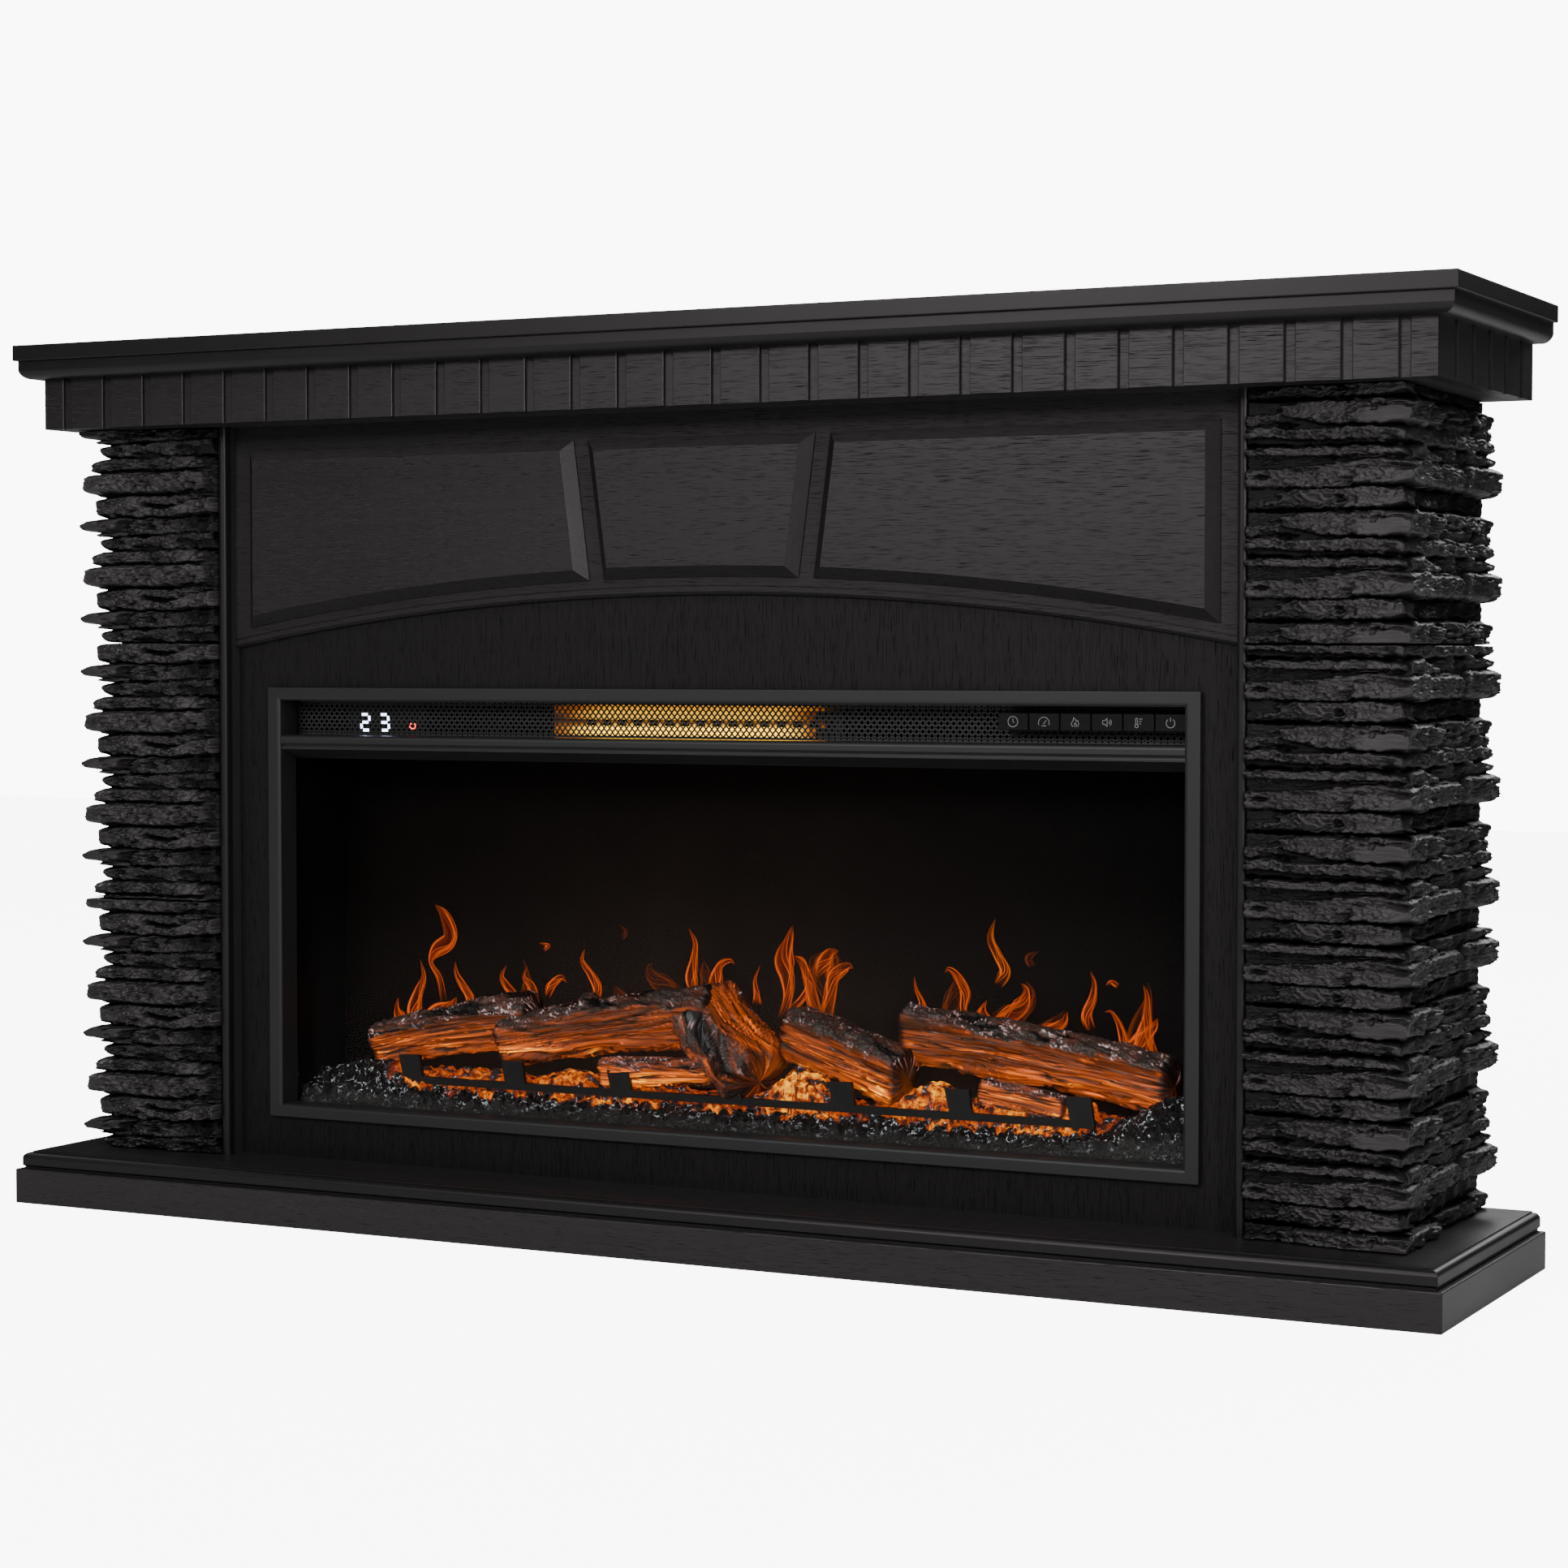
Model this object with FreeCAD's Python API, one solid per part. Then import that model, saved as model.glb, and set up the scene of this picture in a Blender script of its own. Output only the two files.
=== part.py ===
import FreeCAD, Part
import math
import os

# Freestanding mantel with a built-in electric fire. Units are millimetres.
# Origin: centre of the underside. +X to the right, +Y to the wall, +Z up.

# ---- driving dimensions -------------------------------------------------
mantel_width = 1714.0
mantel_depth = 374.0
overall_height = 1000.0
plinth_width = 1704.0
plinth_depth = 386.0
board = 18.0
plinth_slab_height = 40.0
plinth_height = 60.0
frieze_setback = 26.5
frieze_bottom = 903.0
crown_bottom = 961.0
column_inner_x = 613.0
column_outer_x = 772.0
column_front_y = -90.0
column_trim_width = 11.0
column_trim_front_y = -102.0
fascia_front_y = -75.0
header_thickness = 8.0
raised_panel_thickness = 14.0
arch_apex_z = 705.5
arch_end_z = 648.5
stone_module_height = 108.2

# electric insert
frame_half_width = 569.0
frame_bottom = 106.0
frame_top = 603.0
frame_side_bar = 17.0
frame_rail_bar = 15.0
frame_front_y = -82.0
sheet = 1.5
housing_half_width = 556.0
housing_bottom = 117.0
housing_top_z = 592.0
housing_front_y = -74.0
housing_back_y = 120.0
cutout_gap = 2.0
glass_front_y = -50.0
glass_thickness = 4.0
divider_bottom = 521.0
divider_top = 548.0
heater_shelf_z = 530.0
key_travel = 1.2
key_width = 33.4
key_pitch = 34.6
key_height = 18.0
first_key_x = 341.0
key_bottom = 562.0
key_names = ["timer", "speed", "flame", "sound", "heat", "power"]

# ---- values worked out from them ---------------------------------------
back_y = plinth_depth / 2.0
plinth_front_y = -plinth_depth / 2.0
mantel_front_y = back_y - mantel_depth
mantel_bottom = overall_height - board
mantel_half = mantel_width / 2.0
plinth_half = plinth_width / 2.0
frieze_half = mantel_half - frieze_setback
frieze_front_y = mantel_front_y + frieze_setback
header_front_y = fascia_front_y - header_thickness
raised_front_y = header_front_y - raised_panel_thickness
housing_inner_x = housing_half_width - sheet
housing_floor = housing_bottom + sheet
arch_rise = arch_apex_z - arch_end_z
arch_radius = (column_inner_x ** 2 + arch_rise ** 2) / (2.0 * arch_rise)
arch_centre_z = arch_apex_z - arch_radius

vector = FreeCAD.Vector
axis_x = vector(1, 0, 0)
axis_y = vector(0, 1, 0)
axis_z = vector(0, 0, 1)


# ---- helpers ---------------------------------------------------------------
def box(x0, x1, y0, y1, z0, z1):
    return Part.makeBox(x1 - x0, y1 - y0, z1 - z0, vector(x0, y0, z0))


def eased_box(x0, x1, y0, y1, z0, z1, radius):
    solid = box(x0, x1, y0, y1, z0, z1)
    return solid.makeFillet(radius, solid.Edges)


def rod(start, direction, radius, length):
    return Part.makeCylinder(radius, length, vector(*start), direction)


def ring(start, direction, outer, inner, length):
    return rod(start, direction, outer, length).cut(rod(start, direction, inner, length))


def fuse(solids):
    return solids[0].multiFuse(solids[1:]).removeSplitter()


def mirrored(solid):
    return solid.mirror(vector(0, 0, 0), axis_x)


def polygon_face(points):
    return Part.Face(Part.makePolygon(points + [points[0]]))


def along_x(profile, x0, x1):
    """Prism along X from (y, z) corners."""
    points = [vector(x0, y, z) for y, z in profile]
    return polygon_face(points).extrude(vector(x1 - x0, 0, 0))


def along_z(profile, z0, z1):
    """Prism along Z from (x, y) corners."""
    points = [vector(x, y, z0) for x, y in profile]
    return polygon_face(points).extrude(vector(0, 0, z1 - z0))


def export(name, shape):
    solids = shape.Solids
    for solid in solids:
        if not solid.isValid():
            print("invalid solid in", name)
    shape.exportStep("parts/%s.step" % name)
    print("%-22s %3d solids  %9.1f cm3" % (name, len(solids), shape.Volume / 1000.0))


def group(solids):
    return Part.makeCompound(solids)


# ---- mitred mouldings ------------------------------------------------------------
def moulding_face(profile, place):
    """Closed face from a profile whose entries are points or (through, end) arcs."""
    edges = []
    here = place(*profile[0])
    for entry in profile[1:] + [profile[0]]:
        if len(entry) == 2 and isinstance(entry[0], tuple):
            through = place(*entry[0])
            end = place(*entry[1])
            edges.append(Part.Arc(here, through, end).toShape())
        else:
            end = place(*entry)
            edges.append(Part.makeLine(here, end))
        here = end
    return Part.Face(Part.Wire(edges))


def mitred_moulding(profile, half_width, front_y, depth):
    """Front length and two returns, meeting at 45 degree mitres."""
    z_low = 0.0
    z_high = overall_height
    front_face = moulding_face(profile, lambda s, z: vector(-half_width, front_y + s, z))
    front = front_face.extrude(vector(2 * half_width, 0, 0))
    front_plan = [(-half_width, front_y), (half_width, front_y),
                  (half_width - depth, front_y + depth), (-half_width + depth, front_y + depth)]
    front = front.common(along_z(front_plan, z_low, z_high))
    side_face = moulding_face(profile, lambda s, z: vector(half_width - s, front_y, z))
    side = side_face.extrude(vector(0, back_y - front_y, 0))
    side_plan = [(half_width, front_y), (half_width, back_y),
                 (half_width - depth, back_y), (half_width - depth, front_y + depth)]
    side = side.common(along_z(side_plan, z_low, z_high))
    return group([front.Solids[0], side.Solids[0], mirrored(side.Solids[0])])


def crown_moulding():
    """Square fillet over a convex quarter round, under the mantel shelf."""
    lip = 5.0
    foot = 19.0
    profile = [(frieze_setback, crown_bottom), (foot, crown_bottom),
               ((9.1, 963.8), (lip, 970.5)), (lip, mantel_bottom), (frieze_setback, mantel_bottom)]
    return mitred_moulding(profile, mantel_half, mantel_front_y, frieze_setback)


def plinth_moulding():
    """Base bead: small ledge, flat, convex bead and a top step."""
    inner = 21.0
    face = 6.0
    ledge = 8.5
    step = 14.5
    low = plinth_slab_height
    profile = [(inner, low), (ledge, low), (ledge, low + 2.0), (face, low + 4.5), (face, low + 12.0),
               ((8.2, low + 16.8), (13.0, low + 18.5)), (step, low + 18.5),
               (step, plinth_height), (inner, plinth_height)]
    return mitred_moulding(profile, plinth_half, plinth_front_y, inner)


# ---- mantel, frieze and plinth boards ------------------------------------------------
bracket_x = 400.0
bracket_width = 40.0
bracket_leg = 40.0
bracket_metal = 2.5
bracket_hole_radius = 2.5
bracket_hole_z = 955.0
bracket_screw_inset = 24.0
bracket_screw_spread = 10.0
screw_radius = 1.9
screw_length = 10.0
screw_head_radius = 3.6
screw_head_height = 2.2
screw_clearance = 0.1
frieze_board_back_y = frieze_front_y + board


def bracket_screw_places():
    y = back_y - bracket_screw_inset
    for centre in (-bracket_x, bracket_x):
        for offset in (-bracket_screw_spread, bracket_screw_spread):
            yield centre + offset, y


def mantel_top():
    solid = eased_box(-mantel_half, mantel_half, mantel_front_y, back_y, mantel_bottom, overall_height, 1.2)
    depth = screw_length - bracket_metal + 1.0
    holes = [rod((x, y, mantel_bottom - 1.0), axis_z, screw_radius + screw_clearance, depth + 1.0)
             for x, y in bracket_screw_places()]
    return solid.cut(holes)


def channel_plan(width, depth, chamfer):
    """Plan outline of one flat-bottomed channel, opening towards -Y at y = 0."""
    half = width / 2.0
    return [(-half - chamfer, -1.0), (-half - chamfer, 0.0), (-half, chamfer), (-half, depth),
            (half, depth), (half, chamfer), (half + chamfer, 0.0), (half + chamfer, -1.0)]


channel_width = 11.3
channel_depth = 4.0
channel_chamfer = 0.8


def frieze_front():
    pitch = 57.0
    channels_each_side = 14
    solid = box(-frieze_half, frieze_half, frieze_front_y, frieze_board_back_y,
                frieze_bottom, mantel_bottom)
    cutter = along_z(channel_plan(channel_width, channel_depth, channel_chamfer),
                     frieze_bottom - 1.0, mantel_bottom + 1.0)
    cutters = []
    for index in range(-channels_each_side, channels_each_side + 1):
        copy = cutter.copy()
        copy.translate(vector(index * pitch, frieze_front_y, 0))
        cutters.append(copy)
    return solid.cut(cutters)


def frieze_sides():
    pitch = 60.0
    first = 62.5
    count = 5
    solid = box(frieze_half - board, frieze_half, frieze_board_back_y, back_y, frieze_bottom, mantel_bottom)
    cutter = along_z(channel_plan(channel_width, channel_depth, channel_chamfer),
                     frieze_bottom - 1.0, mantel_bottom + 1.0)
    cutter.rotate(vector(0, 0, 0), axis_z, 90)
    cutters = []
    for index in range(count):
        copy = cutter.copy()
        copy.translate(vector(frieze_half, frieze_front_y + first + index * pitch, 0))
        cutters.append(copy)
    right = solid.cut(cutters).Solids[0]
    return group([mirrored(right), right])


def frieze_soffit():
    inner = frieze_half - board
    return box(-inner, inner, frieze_board_back_y, back_y, frieze_bottom, frieze_bottom + board)


def plinth_slab():
    return eased_box(-plinth_half, plinth_half, plinth_front_y, back_y, 0.0, plinth_slab_height, 1.5)


def plinth_deck():
    inset = 21.0
    return box(-plinth_half + inset, plinth_half - inset, plinth_front_y + inset, back_y,
               plinth_slab_height, plinth_height)


def rear_rails():
    rail_height = 60.0
    front = back_y - board
    half = column_inner_x
    upper = box(-half, half, front, back_y, frieze_bottom - rail_height, frieze_bottom)
    lower = box(-half, half, front, back_y, plinth_height, plinth_height + rail_height)
    return group([upper, lower])


def wall_brackets():
    """Two angle brackets: one leg under the shelf, the other against the wall."""
    wall_leg_front = back_y - bracket_metal
    solids = []
    for x in (-bracket_x, bracket_x):
        left = x - bracket_width / 2.0
        right = x + bracket_width / 2.0
        upper = box(left, right, back_y - bracket_leg, back_y, mantel_bottom - bracket_metal, mantel_bottom)
        lower = box(left, right, wall_leg_front, back_y, mantel_bottom - bracket_leg, mantel_bottom)
        solid = fuse([upper, lower])
        hole = rod((x, wall_leg_front - 1.0, bracket_hole_z), axis_y, bracket_hole_radius,
                   bracket_metal + 2.0)
        solid = solid.cut(hole)
        for screw_x, screw_y in bracket_screw_places():
            if abs(screw_x - x) < bracket_width:
                start = (screw_x, screw_y, mantel_bottom - bracket_metal - 1.0)
                solid = solid.cut(rod(start, axis_z, screw_radius + screw_clearance, bracket_metal + 2.0))
        solids.append(solid)
    return group(solids)


# ---- columns -------------------------------------------------------------------------
def column_carcass():
    """Three boards of the right-hand column, open at the back."""
    front_back_y = column_front_y + board
    low = plinth_height
    high = frieze_bottom
    front = box(column_inner_x, column_outer_x, column_front_y, front_back_y, low, high)
    inner = box(column_inner_x, column_inner_x + board, front_back_y, back_y, low, high)
    outer = box(column_outer_x - board, column_outer_x, front_back_y, back_y, low, high)
    return [front, inner, outer]


def column_trims():
    """Round-nosed strips down the inner front corner of each column."""
    nose = 5.0
    outer = column_inner_x + column_trim_width
    right = box(column_inner_x, outer, column_trim_front_y, column_front_y, plinth_height, frieze_bottom)
    nose_edges = [edge for edge in right.Edges
                  if edge.BoundBox.ZLength > 1.0 and edge.BoundBox.YMax < column_trim_front_y + 1.0]
    right = right.makeFillet(nose, nose_edges)
    return group([mirrored(right), right])


# Course heights of one moulded panel, and how far each course stands out.
stone_courses = [(16.0, 24.0), (17.0, 30.0), (26.2, 33.0), (23.0, 27.0), (26.0, 31.0)]
stone_shift = 3.0
stone_corner_reach = 20.0


def stone_panel(start, end, z_low, z_high, module, place):
    """One moulded panel of coursed stone; place maps (along, out, z) to a point."""
    pieces = []
    z = z_low
    for index, (height, proud) in enumerate(stone_courses):
        top = min(z + height, z_high)
        if top - z < 2.0:
            break
        split = start + (end - start) * (0.35 + 0.3 * ((index * 3 + module * 5) % 7) / 6.0)
        step = stone_shift * (((index + module) % 3) - 1)
        low_out = max(10.0, proud + step)
        pieces.append(place(start, split, 0.0, proud, z, top))
        pieces.append(place(split, end, 0.0, low_out, z, top))
        z = top
    return fuse(pieces)


def stone_cladding():
    """Front and outer-side panels of the right-hand column, stacked in modules."""
    front_start = column_inner_x + column_trim_width
    front_end = column_outer_x + stone_corner_reach

    def front_place(a, b, near, far, z0, z1):
        return box(a, b, column_front_y - far, column_front_y - near, z0, z1)

    def side_place(a, b, near, far, z0, z1):
        return box(column_outer_x + near, column_outer_x + far, a, b, z0, z1)

    solids = []
    z = plinth_height
    module = 0
    while z < frieze_bottom - 2.0:
        top = min(z + stone_module_height, frieze_bottom)
        solids.append(stone_panel(front_start, front_end, z, top, module, front_place))
        solids.append(stone_panel(column_front_y, back_y, z, top, module + 2, side_place))
        z = top
        module += 1
    return solids


# ---- recessed fascia, arched header and raised panels -----------------------------------
def fascia_board():
    solid = box(-column_inner_x, column_inner_x, fascia_front_y, fascia_front_y + board,
                plinth_height, frieze_bottom)
    half = housing_half_width + cutout_gap
    hole = box(-half, half, fascia_front_y - 1.0, fascia_front_y + board + 1.0,
               housing_bottom - cutout_gap, housing_top_z + cutout_gap)
    return solid.cut(hole)


def arch_z(x, offset=0.0):
    """Height of the arch, or of an arc drawn outside it by the offset."""
    radius = arch_radius + offset
    return arch_centre_z + math.sqrt(radius * radius - x * x)


def arch_face(left, right, left_top, right_top, top_z, offset, y):
    """Face whose top is straight and whose bottom follows the arch."""
    low_left = vector(left, y, arch_z(left, offset))
    low_right = vector(right, y, arch_z(right, offset))
    middle = (left + right) / 2.0
    low_middle = vector(middle, y, arch_z(middle, offset))
    high_left = vector(left_top, y, top_z)
    high_right = vector(right_top, y, top_z)
    edges = [Part.makeLine(high_left, high_right), Part.makeLine(high_right, low_right),
             Part.Arc(low_right, low_middle, low_left).toShape(), Part.makeLine(low_left, high_left)]
    return Part.Wire(edges)


def arch_header():
    """Header board with a bevelled arch and a shallow groove above it."""
    half = column_inner_x
    bevel = 3.0
    outline = arch_face(-half, half, -half, half, frieze_bottom, 0.0, header_front_y)
    solid = Part.Face(outline).extrude(vector(0, header_thickness, 0))
    arc_edges = [edge for edge in solid.Edges if isinstance(edge.Curve, Part.Circle)
                 and edge.BoundBox.YMax < header_front_y + 0.1]
    solid = solid.makeChamfer(bevel, arc_edges)
    groove_low = 8.0
    groove_width = 1.6
    groove_depth = 1.2
    over = 1.0
    low_left = vector(-half - over, header_front_y, arch_z(-half - over, groove_low))
    low_middle = vector(0, header_front_y, arch_z(0, groove_low))
    low_right = vector(half + over, header_front_y, arch_z(half + over, groove_low))
    rise = vector(0, 0, groove_width)
    groove = Part.Wire([Part.Arc(low_left, low_middle, low_right).toShape(),
                        Part.makeLine(low_right, low_right + rise),
                        Part.Arc(low_right + rise, low_middle + rise, low_left + rise).toShape(),
                        Part.makeLine(low_left + rise, low_left)])
    cutter = Part.Face(groove)
    cutter.translate(vector(0, -over, 0))
    return solid.cut(cutter.extrude(vector(0, groove_depth + over, 0)))


panel_top = 875.0
panel_bevel = 12.0
panel_edge = 1.5
panel_arch_offset = 18.5
panel_end_x = 590.0
keystone_top_half = 139.0
keystone_bottom_half = 119.0
panel_gap = 18.0


def raised_panel(left, right, left_top, right_top):
    """Raised panel with a small square edge and a 45 degree bevel all round."""
    outline = arch_face(left, right, left_top, right_top, panel_top, panel_arch_offset, header_front_y)
    base = Part.Face(outline).extrude(vector(0, -panel_edge, 0))
    lower = outline.copy()
    lower.translate(vector(0, -panel_edge, 0))
    upper = outline.makeOffset2D(-panel_bevel, 2)
    upper.translate(vector(0, raised_front_y - header_front_y, 0))
    bevel = Part.makeLoft([lower, upper], True, True)
    return fuse([base, bevel])


def side_panel():
    """Raised panel to the right of the keystone."""
    inner_bottom = keystone_bottom_half + panel_gap
    inner_top = keystone_top_half + panel_gap
    return raised_panel(inner_bottom, panel_end_x, inner_top, panel_end_x)


def keystone_panel():
    return raised_panel(-keystone_bottom_half, keystone_bottom_half, -keystone_top_half, keystone_top_half)


# ---- insert: frame, glass and housing ----------------------------------------------------
frame_face = 5.0
frame_inner_ease = 4.0
flange_metal = 2.0
frame_inner_x = frame_half_width - frame_side_bar
frame_inner_low = frame_bottom + frame_rail_bar
frame_inner_high = frame_top - frame_rail_bar


def rectangle_ring(half, low, high, band, y0, y1):
    outer = box(-half, half, y0, y1, low, high)
    inner = box(-half + band, half - band, y0 - 1.0, y1 + 1.0, low + band, high - band)
    return outer.cut(inner)


def insert_trim_frame():
    """Picture-frame trim: flat face, outer lip to the fascia, return to the glass."""
    ease = 1.0
    face = eased_box(-frame_half_width, frame_half_width, frame_front_y, frame_front_y + frame_face,
                     frame_bottom, frame_top, ease)
    window = box(-frame_inner_x, frame_inner_x, frame_front_y - 1.0, frame_front_y + frame_face + 1.0,
                 frame_inner_low, frame_inner_high)
    face = face.cut(window)
    inner_edges = [edge for edge in face.Edges
                   if edge.BoundBox.YMax < frame_front_y + 0.1 and edge.BoundBox.DiagonalLength > 100.0
                   and abs(edge.CenterOfMass.x) < frame_inner_x + 0.5
                   and frame_inner_low - 0.5 < edge.CenterOfMass.z < frame_inner_high + 0.5]
    face = face.makeFillet(frame_inner_ease, inner_edges)
    lip = rectangle_ring(frame_half_width, frame_bottom, frame_top, flange_metal,
                         frame_front_y + frame_face / 2.0, fascia_front_y)
    flange = rectangle_ring(frame_inner_x + flange_metal, frame_inner_low - flange_metal,
                            frame_inner_high + flange_metal, flange_metal,
                            frame_front_y + frame_face / 2.0, glass_front_y)
    return fuse([face, lip, flange])


def divider_bar():
    """Rail between window and heater outlet: bull nose, groove, and a lip sloping back."""
    front = frame_front_y + 2.0
    nose = 4.0
    lip_front = front + 2.0
    lip_back = glass_front_y - 4.0
    groove_z = divider_bottom + 15.0
    profile = [(glass_front_y, divider_top), (front + nose, divider_top),
               ((front + 1.2, divider_top - 1.2), (front, divider_top - nose)),
               (front, groove_z + 3.0), (front + 3.0, groove_z), (lip_front, groove_z - 2.0),
               (lip_front, groove_z - 4.0), (lip_back, divider_bottom), (glass_front_y, divider_bottom)]
    face = moulding_face(profile, lambda y, z: vector(-frame_inner_x, y, z))
    return face.extrude(vector(2 * frame_inner_x, 0, 0))


def glass_pane():
    side_margin = 1.0
    low = housing_floor + 0.5
    high = heater_shelf_z - 0.5
    half = housing_inner_x - side_margin
    return box(-half, half, glass_front_y, glass_front_y + glass_thickness, low, high)


rear_flange = 14.0
cover_screw_heights = [150.0, 285.0, 420.0, 560.0]
cover_screw_x = housing_inner_x - rear_flange / 2.0


def housing_tray():
    """Folded sheet: base and two sides, each side with a rear flange."""
    base = box(-housing_half_width, housing_half_width, housing_front_y, housing_back_y,
               housing_bottom, housing_floor)
    side = box(housing_inner_x, housing_half_width, housing_front_y, housing_back_y,
               housing_floor, housing_top_z - sheet)
    flange = box(housing_inner_x - rear_flange, housing_inner_x, housing_back_y - sheet, housing_back_y,
                 housing_floor, housing_top_z - sheet)
    solid = fuse([base, side, flange, mirrored(side), mirrored(flange)])
    holes = []
    for z in cover_screw_heights:
        for x in (-cover_screw_x, cover_screw_x):
            holes.append(rod((x, housing_back_y - 5.0, z), axis_y, screw_radius + screw_clearance, 10.0))
    return solid.cut(holes)


def housing_top():
    return box(-housing_half_width, housing_half_width, housing_front_y, housing_back_y,
               housing_top_z - sheet, housing_top_z)


gland_x = 480.0
gland_z = 150.0
gland_body_radius = 8.0
gland_bore_radius = 4.0


def rear_cover():
    """Rear sheet with an air inlet grille, screw holes and the cable outlet."""
    solid = box(-housing_half_width, housing_half_width, housing_back_y, housing_back_y + sheet,
                housing_bottom, housing_top_z)
    cutters = []
    for z in cover_screw_heights:
        for x in (-cover_screw_x, cover_screw_x):
            cutters.append(rod((x, housing_back_y - 5.0, z), axis_y, screw_radius + 0.3, 10.0))
    slot_count = 30
    slot_pitch = 12.0
    slot_width = 5.0
    slot_low = heater_shelf_z + 10.0
    slot_high = slot_low + 35.0
    slot_middle_x = -75.0
    first = slot_middle_x - (slot_count - 1) * slot_pitch / 2.0
    for index in range(slot_count):
        x = first + index * slot_pitch
        cutters.append(box(x, x + slot_width, housing_back_y - 1.0, housing_back_y + sheet + 1.0,
                           slot_low, slot_high))
    gland_gap = 0.1
    cutters.append(rod((gland_x, housing_back_y - 5.0, gland_z), axis_y,
                       gland_body_radius + gland_gap, 10.0))
    return solid.cut(cutters)


def cable_gland():
    """Flanged bush for the supply lead, clamped through the rear cover."""
    flange_length = 6.0
    nut_length = 8.0
    start = housing_back_y - nut_length
    end = housing_back_y + sheet + flange_length
    body = rod((gland_x, start, gland_z), axis_y, gland_body_radius, end - start)
    flange = rod((gland_x, housing_back_y + sheet, gland_z), axis_y, 12.0, flange_length)
    nut = rod((gland_x, start, gland_z), axis_y, 11.0, nut_length)
    solid = fuse([body, flange, nut])
    return solid.cut(rod((gland_x, start - 1.0, gland_z), axis_y, gland_bore_radius, end - start + 2.0))


def pan_screw(x, y, z, direction):
    """Screw whose head underside is at the point; direction leads from tip to head."""
    tip = vector(x, y, z) - direction * screw_length
    shank = Part.makeCylinder(screw_radius, screw_length, tip, direction)
    head = Part.makeCylinder(screw_head_radius, screw_head_height, vector(x, y, z), direction)
    return fuse([shank, head])


def pan_head_screws():
    solids = []
    for z in cover_screw_heights:
        for x in (-cover_screw_x, cover_screw_x):
            solids.append(pan_screw(x, housing_back_y + sheet, z, axis_y))
    for x, y in bracket_screw_places():
        solids.append(pan_screw(x, y, mantel_bottom - bracket_metal, vector(0, 0, -1)))
    return group(solids)


def heater_shelf():
    return box(-housing_inner_x, housing_inner_x, glass_front_y + 0.5, housing_back_y - 2.0,
               heater_shelf_z, heater_shelf_z + sheet)


# ---- insert: heater outlet, keys and display ----------------------------------------------
mesh_y = -44.0
mesh_metal = 1.2
key_front_y = -66.0
key_cap_depth = 8.0
key_stem_radius = 2.0
guide_front_y = -55.0
guide_depth = 3.0
board_metal = 1.6
key_board_y = -34.0
switch_height = 4.0
key_row_end = first_key_x + key_pitch * len(key_names)


def key_centre_x(index):
    return first_key_x + key_pitch * (index + 0.5)


def vent_mesh():
    """Outlet guard: diamond openings in a sheet, with a slot for the key row."""
    columns = 46
    rows = 2
    half = frame_inner_x
    pitch_x = 2.0 * half / columns
    pitch_z = (frame_inner_high - divider_top) / rows
    solid = box(-half, half, mesh_y, mesh_y + mesh_metal, divider_top, frame_inner_high)
    stem_z = key_bottom + key_height / 2.0
    slot = box(first_key_x + 6.0, half - 10.0, mesh_y - 1.0, mesh_y + 3.0, stem_z - 5.0, stem_z + 5.0)
    solid = solid.cut(slot)
    cutters = []
    reach_x = pitch_x / 2.0 - 1.5
    reach_z = pitch_z / 2.0 - 1.5
    for column in range(columns):
        x = -half + (column + 0.5) * pitch_x
        if x > first_key_x - pitch_x / 2.0:
            continue
        for row in range(rows):
            z = divider_top + (row + 0.5) * pitch_z
            corners = [vector(x - reach_x, mesh_y - 1.0, z), vector(x, mesh_y - 1.0, z + reach_z),
                       vector(x + reach_x, mesh_y - 1.0, z), vector(x, mesh_y - 1.0, z - reach_z)]
            cutters.append(polygon_face(corners).extrude(vector(0, mesh_metal + 2.0, 0)))
    return solid.cut(cutters)


def key(index):
    """Key cap with a round stem that runs in the guide plate."""
    x = key_centre_x(index)
    z = key_bottom + key_height / 2.0
    half = key_width / 2.0
    cap = eased_box(x - half, x + half, key_front_y, key_front_y + key_cap_depth,
                    key_bottom, key_bottom + key_height, 1.0)
    stem_end = key_board_y - switch_height - key_travel - 0.4
    stem = rod((x, key_front_y + 2.0, z), axis_y, key_stem_radius, stem_end - key_front_y - 2.0)
    return fuse([cap, stem])


def key_guide_plate():
    z = key_bottom + key_height / 2.0
    solid = box(first_key_x + 0.5, frame_inner_x, guide_front_y, guide_front_y + guide_depth,
                key_bottom + 0.5, key_bottom + key_height - 0.5)
    holes = [rod((key_centre_x(index), guide_front_y - 1.0, z), axis_y, key_stem_radius + 0.05,
                 guide_depth + 2.0) for index in range(len(key_names))]
    return solid.cut(holes)


def key_circuit_board():
    z = key_bottom + key_height / 2.0
    plate = box(first_key_x, frame_inner_x - 6.0, key_board_y, key_board_y + board_metal,
                key_bottom - 8.0, key_bottom + key_height + 8.0)
    switches = [box(key_centre_x(index) - 3.0, key_centre_x(index) + 3.0, key_board_y - switch_height,
                    key_board_y, z - 3.0, z + 3.0) for index in range(len(key_names))]
    return fuse([plate] + switches)


display_left_x = -484.0
display_right_x = -378.0
display_depth = 12.0


def display_module():
    """Dark window and case of the two-digit readout, behind the outlet guard."""
    gap = 0.3
    front = mesh_y + mesh_metal + gap
    return eased_box(display_left_x, display_right_x, front, front + display_depth,
                     divider_top + 1.0, frame_inner_high - 2.0, 1.0)


tube_left_x = -204.0
tube_right_x = 136.0
tube_y = -22.0
tube_radius = 5.5
tube_heights = [556.0, 574.0]
holder_width = 10.0


def heating_tubes():
    return group([rod((tube_left_x, tube_y, z), axis_x, tube_radius, tube_right_x - tube_left_x)
                  for z in tube_heights])


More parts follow.
